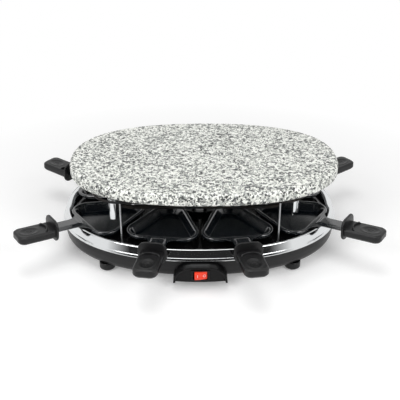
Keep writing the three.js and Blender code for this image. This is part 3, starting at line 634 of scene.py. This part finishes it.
class GRILL_OT_base(bpy.types.Operator):
    """Lower shell with its feet and pads, enamelled tray and chromed ring"""

    bl_idname = "grill.base"
    bl_label = "Base"

    def execute(self, context):
        use = context.scene.grill_base
        shape = (use.length / MM, use.width / MM, use.power)
        plastic = black_plastic(context)
        self.shell(shape, plastic)
        self.ring(shape)
        self.tray(shape, gloss_enamel(tuple(use.enamel)))
        self.feet(plastic)
        return {"FINISHED"}

    def shell(self, shape, plastic):
        """A wall that swells outwards and turns in under the base, with openings for the screws,
        the inlet and the switch."""
        wall, turned_in = 2.5, 28
        low, high = span("lower_shell")
        shares = [[1, 0], [0.5, 0.06], [0.24, 0.17], [0.125, 0.36], [0.107, 0.62], [0.15, 0.86], [0.196, 1]]
        outer = finer(rounded(shares * np.array([turned_in, high - low]) + [0, low], 12, 6, False), 1.6)
        section = skin_of(outer, -wall)
        section[-1, 1] = low + wall
        bottom, floor = [[60, low], [44, low]], [[44, low + wall], [60, low + wall]]
        grid = capped(oval_skin(np.concatenate([bottom, section, floor]), *shape))
        under, seat, over, head, shank = low - 3, low + 2.3, low + 9, 3.9, 2.2
        bore = [[0, under], [head, under], [head, seat], [shank, seat], [shank, over], [0, over]]
        holes = [(turned(bore, middle(f"screw_{end}"), 24), True) for end in ENDS]
        hole, inside, outside = 6.8, 140, 180
        sleeve = turned([[0, inside], [hole, inside], [hole, outside], [0, outside]], steps=40)
        window = frames([(27.6, 19.2, 0.5, depth) for depth in (120, 165)])
        holes += [(laid(sleeve, INLET_HEIGHT), True), (facing_front(window, SWITCH_HEIGHT), False)]
        grids = [(grid, False)]
        make("moulded_shell", grids, plastic, "base", ["lower_shell"], holes=holes)

    def ring(self, shape):
        """Pressed band: a narrow step below, a sloping face, a round edge on top and a slope inwards."""
        corners = [
            [2.3, -17.3], [0.3, -16.2], [0.2, -15.2], [1.6, -12.2], [2.2, -12], [6.1, 0], [9.4, -0.4],
            [15.8, -6.2], [17.4, -10.2],
        ]
        bends = [1, 0.5, 0.5, 0.25, 0.25, 2, 3, 2.5, 1]
        line = finer(rounded(corners, bends, 6, False), 0.3) + [0, span("trim_ring")[1]]
        grid = oval_skin(skin_of(line, -1.1), *shape)
        make("chromed_ring", [(grid, True)], mirror_chrome(), "base", ["trim_ring"], 60)

    def tray(self, shape, enamel):
        """Flat pressed tray with a raised rib from the hub to the front and rear."""
        low, top, inset = span("inner_tray")[0], TRAY_TOP, 6.2
        sheet = soft_edges(SHEET, 0.5, top - SHEET, 3) + [inset, 0]
        inner = np.array([[40, 0], [90, 0]])
        sheet = np.concatenate([inner[::-1] + [0, top - SHEET], sheet, inner + [0, top]])
        grids = [(capped(oval_skin(sheet, *shape)), False)]
        section = [[-1.5, top - 0.8], [-0.6, top + 0.3], [0, top + 3.2], [0.4, top + 3.8], [1.2, top + 4]]
        half_rib, start, end = 3.5, 31.4, 140
        for _, side in SIDES:
            outline = band(-half_rib, half_rib, start, end, 1.5, 4) * [1, side]
            grids.append((prism(outline[::side], section), False))
        for end in ENDS:
            boss = band(2.2, 5, low, top - 0.6, 0.3, 2)
            grids.append((turned(boss, middle(f"screw_{end}"), 32), True))
        make("enamelled_tray", grids, enamel, "base", ["inner_tray"])

    def feet(self, plastic):
        """Round lobes moulded under the shell, each with a rubber pad let in."""
        rubber = plain("foot rubber", "#1c1c1c", 0.85)
        lobe = rounded([[8.8, 1.2], [10, 1.2], [12, 3.2], [12, 12.8], [8.8, 12.8]], 1.6, 4)
        for end in ENDS:
            at = middle(f"foot_pad_{end}")
            foot, pad = turned(lobe, at, 56), turned(band(0.1, 8.5, 0, 2.5, 0.5), at, 48)
            grids = [(foot, True)]
            make(f"moulded_foot_{end}", grids, plastic, "base", [f"foot_{end}"])
            make(f"rubber_pad_{end}", [(pad, True)], rubber, "base", [f"foot_pad_{end}"])


class GRILL_OT_hub(bpy.types.Operator):
    """Raised hub and shallow dish in the middle of the tray"""

    bl_idname = "grill.hub"
    bl_label = "Hub"

    def execute(self, context):
        low, high = span("hub_pedestal")
        flange, neck = extent("hub_pedestal", 0) / 2, 24
        hub = rounded(
            [
                [neck - SHEET, low], [flange, low], [flange, low + SHEET], [neck, low + SHEET],
                [neck, high], [neck - SHEET, high],
            ],
            [0.2, 0.5, 0.5, 1.6, 0.4, 0.4], 4,
        )
        low, high = span("hub_dish")
        rim, hole = extent("hub_dish", 0) / 2, 16
        dish = rounded(
            [
                [hole, low], [rim - 3, low], [rim, high - 1.2], [rim, high], [rim - 1.2, high],
                [rim - 4.2, low + SHEET], [hole, low + SHEET],
            ],
            [0.5, 1.4, 0.5, 0.55, 0.5, 1.4, 0.5], 4,
        )
        enamel = gloss_enamel(tuple(context.scene.grill_base.enamel))
        for name, section, node in (("hub", hub, "hub_pedestal"), ("dish", dish, "hub_dish")):
            grids = [(turned(section, steps=96), True)]
            make(f"enamelled_{name}", grids, enamel, "base", [node])
        dress(["terminal_block"], plain("unglazed ceramic", "#e4dccb", 0.75))
        return {"FINISHED"}


def seats(use):
    """Name, place and turn of each pan: the middle of its outer side, and the way its handle points."""
    front, side = use.front_splay, use.side_splay
    for end, y in SIDES:
        for hand, x in HANDS:
            seat = (x * FRONT_SEAT[0], y * FRONT_SEAT[1], 0)
            yield f"{end}_{hand}", seat, np.arctan2(y * np.cos(front), x * np.sin(front))
            seat = (x * SIDE_SEAT[0], y * SIDE_SEAT[1], 0)
            yield f"{hand}_side_{end}", seat, np.arctan2(y * np.sin(side), x * np.cos(side))


def tilted(grid):
    """Turn an arm or a handle up by the tilt about the pan's rim."""
    cosine, sine = np.cos(TILT), np.sin(TILT)
    x, z = grid[..., 0], grid[..., 2] - ARM_TOP
    return np.stack([cosine * x - sine * z, grid[..., 1], sine * x + cosine * z + ARM_TOP], axis=-1)


class GRILL_OT_pans(bpy.types.Operator):
    """Eight coated pans, each a rounded triangle with a pressed arm"""

    bl_idname = "grill.pans"
    bl_label = "Pans"

    def execute(self, context):
        use = context.scene.grill_pan
        look = coated_steel(tuple(use.coating))
        forms = self.dish(use), tilted(self.arm())
        for name, place, angle in seats(use):
            grids = [(spun(form, angle, place), False) for form in forms]
            make(f"coated_pan_{name}", grids, look, f"{name}_pan", [f"pan_{name}"], 40)
        return {"FINISHED"}

    def dish(self, use):
        """Sections (inset, height, shrink) carried round the pan's outline.

        The outline is a centre plus a radius along a turning direction, all three of which run evenly
        from one station to the next: two outer corners, an inner end and the straight lines between
        them. Shrink draws a ring in toward the pan's middle.
        """
        width, depth, near, far = (v / MM for v in (use.width, use.depth, use.near, use.far))
        corner = np.array([-near, width / 2 - near])
        end = np.array([far - depth, 0])
        run = end - corner
        side = FULL_TURN + np.arctan2(run[1], run[0]) - np.arccos((near - far) / np.hypot(*run))
        mirror, back = corner * [1, -1], FULL_TURN - side
        stations = [
            [*corner, near, 0], [*corner, near, side], [*end, far, side], [*end, far, back],
            [*mirror, near, back], [*mirror, near, FULL_TURN], [*corner, near, FULL_TURN],
        ]
        runs = zip(stations, stations[1:], [22, 22, 30, 22, 22, 18])
        outline = np.concatenate([np.linspace(a, b, count, endpoint=False) for a, b, count in runs])
        centres, radii, angles = outline[:, :2], outline[:, 2:3], outline[:, 3:]
        heading = np.concatenate([np.cos(angles), np.sin(angles)], axis=1)
        rim, low = PAN_RIM, span("pan_front_left")[0]
        wall = rounded(
            [
                [13.3, low], [10.9, low], [5.4, rim - 3.2], [1.4, rim - 2.4], [1.3, rim - 5.4],
                [0.4, rim - 5.3], [0, rim - 2.6], [0.8, rim - 0.6], [2.7, rim], [4.7, rim - 0.6],
                [6.4, rim - 2.8], [12.1, low + SHEET], [15, low + SHEET],
            ],
            [1, 4, 1.2, 1, 0.3, 0.4, 3, 3, 3, 3, 3, 5, 1], 6, False,
        )
        shrink = np.array([0.05, 0.3, 0.55, 0.8])
        section = np.concatenate([wall[[0] * 4], wall, wall[[-1] * 4]])
        drawn = np.concatenate([shrink, np.ones(len(wall)), shrink[::-1]])[:, None, None]
        focus = np.array([-depth * 0.42, 0])
        flat = focus + drawn * (centres + (radii - section[:, None, :1]) * heading - focus)
        return capped(lifted(flat, section[:, 1]))

    def arm(self):
        """A pressed channel: at each place along it, a closed loop over the top and back underneath.

        The lips widen into the rim by r - sqrt(r^2 - (r - x)^2), where r is the flare's radius, and
        the channel rises smoothly from the rim.
        """
        radius, lip_half, flat_half, depth = 18, 14, 11.9, 2.8
        slope_start, slope_width, edge_drop = 11.4, 2.8, 0.35
        flaring = radius * (1 - np.cos(np.linspace(0, np.pi / 2, 16)))
        along = np.concatenate([[-1.5, -0.75], flaring, np.linspace(20, ARM_LENGTH + 2, 14)])
        left = np.clip(radius - along, 0, radius)
        edge = lip_half + radius - np.sqrt(radius**2 - left**2)
        rise = depth * smooth((along - 1.5) / 7)
        share = np.array([0, 0.02, 0.1, 0.3, 0.55, 0.8, 0.95])
        lip = edge[:, None] + (flat_half - edge[:, None]) * share
        bend = np.broadcast_to([11.6, 11.3, 11.0, 10.3, 9.4, 8.8, 8.4, 8.0, 6, 4, 2], (len(along), 11))
        half = np.concatenate([lip, bend], axis=1)
        across = np.concatenate([-half, half[:, :1] * 0, half[:, ::-1]], axis=1)
        up = np.clip((slope_start - np.abs(across)) / slope_width, 0, 1) * rise[:, None]
        taper = edge_drop * (np.abs(across) >= edge[:, None] - 0.01)
        top = ARM_TOP + up - taper
        bottom = ARM_TOP - SHEET + up + taper
        loop = np.concatenate([across, across[:, ::-1]], axis=1)
        height = np.concatenate([top, bottom[:, ::-1]], axis=1)
        x = np.broadcast_to(along[:, None], loop.shape)
        return capped(np.stack([x, loop, height], axis=2))


class GRILL_OT_handles(bpy.types.Operator):
    """Eight moulded handles: a guard plate, a flat grip with a thumb rib and an oval hollow"""

    bl_idname = "grill.handles"
    bl_label = "Handles"

    def execute(self, context):
        use = context.scene.grill_handle
        look = black_plastic(context)
        forms = [tilted(form) for form in (self.guard(), self.grip(use), self.rib(use))]
        for name, place, angle in seats(context.scene.grill_pan):
            grids = [(spun(form, angle, place), False) for form in forms]
            node = f"handle_{name}"
            make(f"moulded_{node}", grids, look, f"{name}_pan", [node], 48)
        return {"FINISHED"}

    def guard(self):
        """A rectangle with round corners and soft edges, standing across the arm."""
        width, height, corner, edge, over_rim = 42, 33, 12, 1.3, 0.5
        outline = finer(rectangle(width, height, corner, 10), 1.2, True)
        plate = prism(outline, soft_edges(GUARD_END - ARM_LENGTH, edge, ARM_LENGTH, 5))
        return facing_out(plate) + [0, 0, PAN_RIM + over_rim]

    def grip(self, use):
        """Rings of one outline: the underside, the rounded side and the top, where each ring is
        drawn in toward the grip's middle line. The top sinks into an oval hollow with a faint rim.
        """
        start, end = ARM_LENGTH + 1.8, GUARD_END + use.length / MM
        half, low, high = use.width / MM / 2, GRIP_LOW, GRIP_LOW + use.thickness / MM
        outline = finer(band(start, end, -half, half, [0.2, 9.5, 9.5, 0.2], 12), 0.8, True)
        spine = np.stack([np.clip(outline[:, 0], start, end - half), np.zeros(len(outline))], axis=1)
        corners = [[6, low], [2.6, low], [0, low + 3.4], [0, high - 2.2], [2.4, high]]
        side = rounded(corners, [1, 1.6, 2.2, 1.0, 1], 4, False)
        drawn = side[:, 0] / half
        under, over = np.linspace(1, drawn[0], 6)[:-1], np.linspace(drawn[-1], 1, 30)[1:]
        shrink = np.concatenate([under, drawn, over])
        height = np.concatenate([np.full(len(under), low), side[:, 1], np.full(len(over), high)])
        flat = outline + shrink[:, None, None] * (spine - outline)
        x, y = flat[..., 0], flat[..., 1]
        on_top = (np.arange(len(shrink)) >= len(shrink) - len(over) - 1)[:, None]
        centre, long, wide = GUARD_END + 35, 13, 9.5
        oval = np.hypot((x - centre) / long, y / wide)
        hollow = 1.1 * smooth((1 - oval) / 0.45) + 0.6 * smooth((0.45 - oval) / 0.2)
        faint = 0.35 * np.exp(-(((oval - 1.1) / 0.14) ** 2))
        return capped(np.stack([x, y, height[:, None] - on_top * (hollow - faint)], axis=2))

    def rib(self, use):
        """A rounded section carried along an arc that sinks into the grip at its ends."""
        outer, half_width, half_thick, high = 20, 14.5, 1.2, use.rib / MM
        centre = GUARD_END + 7 + outer
        section = rounded([[1.3, -1.5], [0.9, high], [-0.9, high], [-1.3, -1.5]], [0.2, 0.8, 0.8, 0.2], 4)
        reach = np.arcsin(half_width / outer)
        angle = np.pi + np.linspace(-reach, reach, 48)[:, None]
        fade = 1 - 0.75 * (1 - smooth((reach - np.abs(angle - np.pi)) / 0.13))
        radius = outer - half_thick + section[:, 0]
        x, y = centre + radius * np.cos(angle), radius * np.sin(angle)
        top = GRIP_LOW + use.thickness / MM
        return capped(np.stack([x, y, top + section[:, 1] * fade], axis=2))


class GRILL_OT_rack(bpy.types.Operator):
    """Wire rack on four rods, heating tube and the clips that carry it"""

    bl_idname = "grill.rack"
    bl_label = "Rack and heater"

    def execute(self, context):
        use = context.scene.grill_rack
        steel, shaded_heat_tint = drawn_steel(), heat_tint_and_shade_steel()
        low, high = span("rack_frame")
        x, y, z = use.length / MM / 2, use.width / MM / 2, high - RACK_WIRE
        path = rounded([[x, -y, z], [x, y, z], [-x, y, z], [-x, -y, z]], use.corner / MM, 16)
        wire = tube(finer(path, 4, True), RACK_WIRE, closed=True)
        # The rack wire takes the same dark tones as painted shade, so that it sinks into the slab's shadow
        make("wire_rack", [(wire, True)], shaded_heat_tint, "base", ["rack_frame"], 60)
        for end in ENDS:
            at = middle(f"nut_{end}")
            rod = tube([[*at, low], [*at, (low + z) / 2], [*at, z]], ROD_WIRE)
            make(f"rack_rod_{end}", [(rod, False)], steel, "base", ["rack_frame"], 60)
        self.heater(use, shaded_heat_tint)
        for hand, side in HANDS:
            self.clip(hand, side, use.heater_length / MM / 2, x, z, steel)
        dress([f"{kind}_{end}" for kind in ("nut", "screw") for end in ENDS], steel)
        dress([f"terminal_tab_{hand}" for hand, _ in HANDS], steel)
        return {"FINISHED"}

    def heater(self, use, shaded_heat_tint):
        """A circle carried up one leg, round the loop and down the other leg."""
        x, y = use.heater_length / MM / 2, use.heater_width / MM / 2
        leg, level, foot = 9, HEATER_LEVEL, span("heating_element")[0]
        right = [[leg, 0, foot], [leg, 0, level], [leg, y, level], [x, y, level], [x, -y, level]]
        left = [[-a, b, c] for a, b, c in right[::-1]]
        bends = [1, 12.5, 12.5, 25, 25]
        path = rounded([*right, *left], [*bends, *bends[::-1]], 10, False)
        grid = tube(finer(path, 2.5), HEATER_WIRE, 18)
        make("heater_tube", [(grid, False)], shaded_heat_tint, "base", ["heating_element"], 60)

    def clip(self, hand, side, inner, outer, wire, steel):
        """A bent strip: a rectangle carried along a line of (x, z), from the rack to a cradle."""
        gap = 0.9
        high, low = wire - RACK_WIRE - gap, HEATER_LEVEL - HEATER_WIRE - gap
        edge = inner + HEATER_WIRE + 0.6
        line = rounded(
            [
                [outer + RACK_WIRE + gap, high + 4.5], [outer + RACK_WIRE + gap, high], [edge + 4, high],
                [edge, high - 8], [edge, low], [inner - HEATER_WIRE, low],
            ],
            1.2, 4, False,
        )
        section = band(-0.6, 0.6, -6, 6, 0.25, 2)
        normal = sideways(np.gradient(line, axis=0))
        flat = line[:, None] + section[None, :, :1] * normal[:, None]
        width = np.broadcast_to(section[None, :, 1], flat.shape[:2])
        grid = capped(np.stack([side * flat[..., 0], width, flat[..., 1]], axis=2))
        make(f"bent_clip_{hand}", [(grid, False)], steel, "base", [f"element_clip_{hand}"])


class GRILL_OT_switch(bpy.types.Operator):
    """Arched housing at the front with a lit rocker switch, and the cord inlet at the rear"""

    bl_idname = "grill.switch"
    bl_label = "Switch and inlet"

    def execute(self, context):
        use = context.scene.grill_switch
        # The housing takes a darker, less shiny copy of the shell's plastic: painted shade for its recessed
        # face
        self.housing(moulded_plastic("black plastic darkened as painted shade", linear("#0d0d0e"), shine=0.2))
        self.bezel(moulded_plastic("smooth black plastic", linear("#0a0a0b"), 0.22, 0.32, 0.25))
        self.rocker(lit_plastic(tuple(use.red), use.glow), plain("white print", "#f3e9e4", 0.5))
        self.inlet(black_plastic(context))
        leads = {
            "inlet_to_block": ("brown", "#5b3a22"), "inlet_to_switch": ("blue", "#27508f"),
            "switch_to_block": ("white", "#e6e6e2"),
        }
        for lead, (name, code) in leads.items():
            dress([f"lead_{lead}"], plain(f"{name} insulation", code, 0.55))
        return {"FINISHED"}

    def housing(self, look):
        """Loops round an arch and its straight foot, from the back over a soft front edge to a face.

        The face is set back, open below, and bulges toward the middle.
        """
        back, front, foot, lip = 136, 174, 12.5, 3.4
        half = np.array([[39.5, foot], [38.5, 21], [33, 30.5], [23, 36.8], [13, 38.4]])
        corners = np.concatenate([half, half[::-1] * [-1, 1]])
        bends = [1, 9, 12, 12, 16]
        arch = finer(rounded(corners, [*bends, *bends[::-1]], 8, False), 1.1)
        section = [[0, back], [0, front], [lip - 0.3, front], [lip, front - 2.6]]
        section = rounded(section, [1, 1.3, 1, 1], 5, False)
        floor = np.stack([np.linspace(lip - half[0, 0], half[0, 0] - lip, 30), np.full(30, foot)], axis=1)
        loops, depths = [], []
        for inset, depth in section:
            sides = moved(arch, inset)
            sides[[0, -1], 1] = foot
            loops.append(np.concatenate([sides, floor]))
            face = self.face(loops[-1][:, 0], front)
            limit = np.concatenate([np.full(len(arch), front), face[len(arch) :]])
            depths.append(np.minimum(depth, limit))
        depths[-1] = self.face(loops[-1][:, 0], front)
        focus, last = np.array([0, SWITCH_HEIGHT]), loops[-1]
        for share in (0.85, 0.7, 0.5, 0.3, 0.1):
            loops.append(focus + share * (last - focus))
            depths.append(self.face(loops[-1][:, 0], front))
        flat, depth = np.stack(loops), np.stack(depths)
        grid = capped(np.stack([flat[..., 0], -depth, flat[..., 1]], axis=2))
        opening = facing_front(frames([(23.6, 15.8, 0.4, place) for place in (128, 180)]), SWITCH_HEIGHT)
        make(
            "arched_housing", [(grid, False)], look, "base", ["control_housing"],
            sharp=40, holes=[(opening, False)],
        )

    def face(self, x, front):
        """How far forward the housing's face lies at x from its middle: 2.6 + 2.4 (x / 36)^2 back."""
        return front - 2.6 - 2.4 * (x / 36) ** 2

    def bezel(self, look):
        """The switch's box from its back to its frame with soft edges, and the pocket inside it."""
        front = 173.5
        rows = [
            (23, 15.2, 0.5, front - 17), (23, 15.2, 0.5, front - 1.8), (27, 17.6, 1.4, front - 1.8),
            (27, 17.6, 1.4, front - 0.5), (26.6, 17.2, 1.2, front - 0.12), (26, 16.6, 1, front),
            (21.8, 14, 0.9, front), (21.2, 13.4, 0.7, front - 0.15), (20.8, 13, 0.5, front - 0.6),
            (20.8, 13, 0.5, front - 8.2),
        ]
        grid = facing_front(frames(rows), SWITCH_HEIGHT)
        make("switch_bezel", [(grid, False)], look, "base", ["switch_body"])

    def rocker(self, look, white):
        """A key with two sloping faces that meet in the middle, turned a little about its pin, with
        a ring and a bar printed on it for off and on."""
        lean = np.radians(10)
        half, high, front = 9.2, 12.4, -5.6
        slope = half * np.tan(lean)
        outline = rounded(
            [
                [-half, front + slope], [0, front + slope / 2], [half, front + slope], [half, -1.6],
                [4.6, 2.5], [-4.6, 2.5], [-half, -1.6],
            ],
            [0.8, 6, 0.8, 0.5, 0.5, 0.5, 0.5], 5,
        )
        key = prism(finer(outline, 0.4, True), soft_edges(high, 0.7, -high / 2, 4))
        pin = turned(band(0.02, 1, -7, 7, 0.2, 2), steps=20)
        place = (0, -170.3, SWITCH_HEIGHT)
        grids = [(spun(key, lean, place), False), (spun(pin, lean, place), True)]
        make("lit_rocker", grids, look, "rocker", ["switch_rocker"], 40)
        ring = turned(band(1.5, 2.1, 0, 0.3, 0.08, 2), steps=40)
        bar = prism(rectangle(0.7, 4.4, 0.2, 3), soft_edges(0.3, 0.08))
        for name, grid, x, closed in (("off", ring, 5, True), ("on", bar, -5, False)):
            face = front + slope / 2 + abs(x) / half * slope / 2
            tip = np.arctan2(slope / 2, half) * np.sign(x)
            lying = spun(facing_front(grid), tip, (x, face + 0.22, 0))
            make(f"{name}_mark", [(spun(lying, lean, place), closed)], white, "rocker")

    def inlet(self, look):
        """A flanged sleeve turned about a level axis."""
        low, high = span("cord_inlet", 1)
        section = rounded(
            [
                [3.6, low], [6.5, low], [6.5, high - 12], [9, high - 12], [9, high - 10], [6.5, high - 10],
                [5.6, high], [3.6, high],
            ],
            [0.4, 0.4, 0.2, 0.7, 0.7, 1.2, 0.8, 0.8], 4,
        )
        grid = laid(turned(section, steps=56), INLET_HEIGHT)
        make("inlet_sleeve", [(grid, True)], look, "base", ["cord_inlet"])


# The camera and the lamps: places and sizes in metres, and the lens in millimetres
CAMERA_PLACE, CAMERA_TARGET = (-0.0080, -1.0181, 0.5910), (0.00003, 0.0018, 0.060)
CAMERA_LENS, CAMERA_SHIFT = 63.45, (0.00125, -0.00625)
OVERHEAD_PLACE, OVERHEAD_SIZE = (-0.15, -0.1, 1.4), (0.9, 0.6)
SOFTBOX_PLACE, SOFTBOX_SIZE = (0.76, -0.85, 0.78), (0.55, 0.65)


class GRILL_OT_stage(bpy.types.Operator):
    """Pale floor, soft light, and a camera at the photograph's angle"""

    bl_idname = "grill.stage"
    bl_label = "Stage"

    def execute(self, context):
        use, scene = context.scene.grill_stage, context.scene
        self.floor(use)
        self.world(scene)
        self.lamp("overhead", OVERHEAD_PLACE, OVERHEAD_SIZE, use.light)
        for hand, side in HANDS:
            self.lamp(f"{hand}_softbox", np.array(SOFTBOX_PLACE) * [side, 1, 1], SOFTBOX_SIZE, use.front)
        lens = bpy.data.cameras.new("camera")
        lens.lens, lens.sensor_width = CAMERA_LENS, 36
        lens.shift_x, lens.shift_y = CAMERA_SHIFT
        scene.camera = self.aimed("camera", lens, CAMERA_PLACE, CAMERA_TARGET)
        scene.view_settings.view_transform = "Standard"
        return {"FINISHED"}

    def aimed(self, name, data, place, target):
        """A lamp or a camera at a place, turned to look at a target."""
        thing = bpy.data.objects.new(name, data)
        thing.location = place
        thing.rotation_mode = "QUATERNION"
        thing.rotation_quaternion = (Vector(target) - Vector(place)).to_track_quat("-Z", "Y")
        bpy.context.scene.collection.objects.link(thing)
        return thing

    def lamp(self, name, place, size, power):
        """A flat rectangular lamp that faces the middle of the grill."""
        light = bpy.data.lights.new(name, "AREA")
        light.shape, light.energy = "RECTANGLE", power
        light.size, light.size_y = size
        self.aimed(name, light, place, (0, 0, 0.05))

    def floor(self, use):
        """A flat sheet whose colour is lifted to white where the camera or a mirror sees it, and
        fades to plain white away from the grill. A mirror sees the darker room through its front."""
        reach, front_edge, fade_start, fade_end = 6.0, -0.62, 0.32, 0.62
        corners = [(-reach, -reach, 0), (reach, -reach, 0), (reach, reach, 0), (-reach, reach, 0)]
        mesh = bpy.data.meshes.new("floor")
        mesh.from_pydata(corners, [], [(0, 1, 2, 3)])
        sheet = bpy.data.objects.new("floor", mesh)
        bpy.context.scene.collection.objects.link(sheet)
        look = bpy.data.materials.new("matte white card")
        tree = emptied(look)
        seen = self.seen(tree)
        card = add(tree, "BsdfDiffuse", {"Color": tuple(use.floor)})
        strength = add(tree, "Math", {1: use.white}, {0: seen}, operation="MULTIPLY")
        lift = add(tree, "Emission", {"Color": WHITE}, {"Strength": strength})
        near = add(tree, "AddShader", links={0: card, 1: lift})
        place = add(tree, "TexCoord", out="Object")
        away = add(tree, "VectorMath", links={0: place}, out="Value", operation="LENGTH")
        apart = add(tree, "MapRange", zip(RANGE, (fade_start, fade_end, 0, 1)), {"Value": away})
        fade = add(tree, "Math", links={0: seen, 1: apart}, operation="MULTIPLY")
        far = add(tree, "Emission", {"Color": WHITE, "Strength": 1.0})
        whole = add(tree, "MixShader", links={0: fade, 1: near, 2: far})
        front = add(tree, "SeparateXYZ", links={0: place}, out="Y")
        before = add(tree, "Math", {1: front_edge}, {0: front}, operation="LESS_THAN")
        mirror = add(tree, "LightPath", out="Is Glossy Ray")
        open_front = add(tree, "Math", links={0: before, 1: mirror}, operation="MULTIPLY")
        both = add(tree, "MixShader", links={0: open_front, 1: whole, 2: add(tree, "BsdfTransparent")})
        add(tree, "OutputMaterial", links={"Surface": both})
        mesh.materials.append(look)

    def seen(self, tree):
        """One where a ray comes from the camera or from a mirror or glass, else nothing."""
        path = add(tree, "LightPath").node.outputs
        either = path["Is Camera Ray"]
        for kind in ("Is Glossy Ray", "Is Transmission Ray"):
            either = add(tree, "Math", links={0: either, 1: path[kind]}, operation="MAXIMUM")
        return either

    def world(self, scene):
        """Even light for the object and a white surround where it is seen. A mirror also shows the
        darker room behind the camera: a round patch about a direction, with a soft edge."""
        even, dark, room_way, room_edge, room_core = 0.44, 0.025, (0.0, -0.98, 0.17), 0.5, 0.76
        scene.world = bpy.data.worlds.new("studio")
        tree = emptied(scene.world)
        way = add(tree, "TexCoord", out="Generated")
        near = add(tree, "VectorMath", {1: room_way}, {0: way}, "Value", operation="DOT_PRODUCT")
        room = add(tree, "MapRange", zip(RANGE, (room_edge, room_core, 1, dark)), {"Value": near})
        bright = add(tree, "MapRange", zip(RANGE, (0, 1, even, 1)), {"Value": self.seen(tree)})
        mirror = add(tree, "LightPath", out="Is Glossy Ray")
        strength = add(tree, "Mix", links={0: mirror, 2: bright, 3: room}, data_type="FLOAT")
        back = add(tree, "Background", {"Color": WHITE}, {"Strength": strength})
        add(tree, "OutputWorld", links={"Surface": back})


# Each group of settings on the scene, with the operators that build from it
LAYOUT = {
    "grill_slab": (SlabSettings, [GRILL_OT_slab]),
    "grill_base": (BaseSettings, [GRILL_OT_base, GRILL_OT_hub]),
    "grill_pan": (PanSettings, [GRILL_OT_pans]),
    "grill_handle": (HandleSettings, [GRILL_OT_handles]),
    "grill_rack": (RackSettings, [GRILL_OT_rack]),
    "grill_switch": (SwitchSettings, [GRILL_OT_switch]),
    "grill_stage": (StageSettings, [GRILL_OT_stage]),
}


class GRILL_PT_panel(bpy.types.Panel):
    """Sizes, colours and build buttons of the grill"""

    bl_label = "Raclette grill"
    bl_idname = "GRILL_PT_panel"
    bl_space_type = "VIEW_3D"
    bl_region_type = "UI"
    bl_category = "Raclette"

    def draw(self, context):
        for name, (group, operators) in LAYOUT.items():
            box = self.layout.box()
            for operator in operators:
                box.operator(operator.bl_idname)
            for key in group.__annotations__:
                box.prop(getattr(context.scene, name), key)


KINDS = [kind for group, operators in LAYOUT.values() for kind in (group, *operators)] + [GRILL_PT_panel]


def register():
    """Register the classes and hang each group of settings on the scene."""
    for kind in KINDS:
        bpy.utils.register_class(kind)
    for name, (group, _) in LAYOUT.items():
        setattr(bpy.types.Scene, name, bpy.props.PointerProperty(type=group))


def unregister():
    """Take the settings and the classes away again."""
    for name in LAYOUT:
        delattr(bpy.types.Scene, name)
    for kind in KINDS[::-1]:
        bpy.utils.unregister_class(kind)


def main():
    """Build every piece and the stage."""
    register()
    bpy.ops.grill.slab()
    bpy.ops.grill.base()
    bpy.ops.grill.hub()
    bpy.ops.grill.pans()
    bpy.ops.grill.handles()
    bpy.ops.grill.rack()
    bpy.ops.grill.switch()
    bpy.ops.grill.stage()


if __name__ == "__main__":
    main()
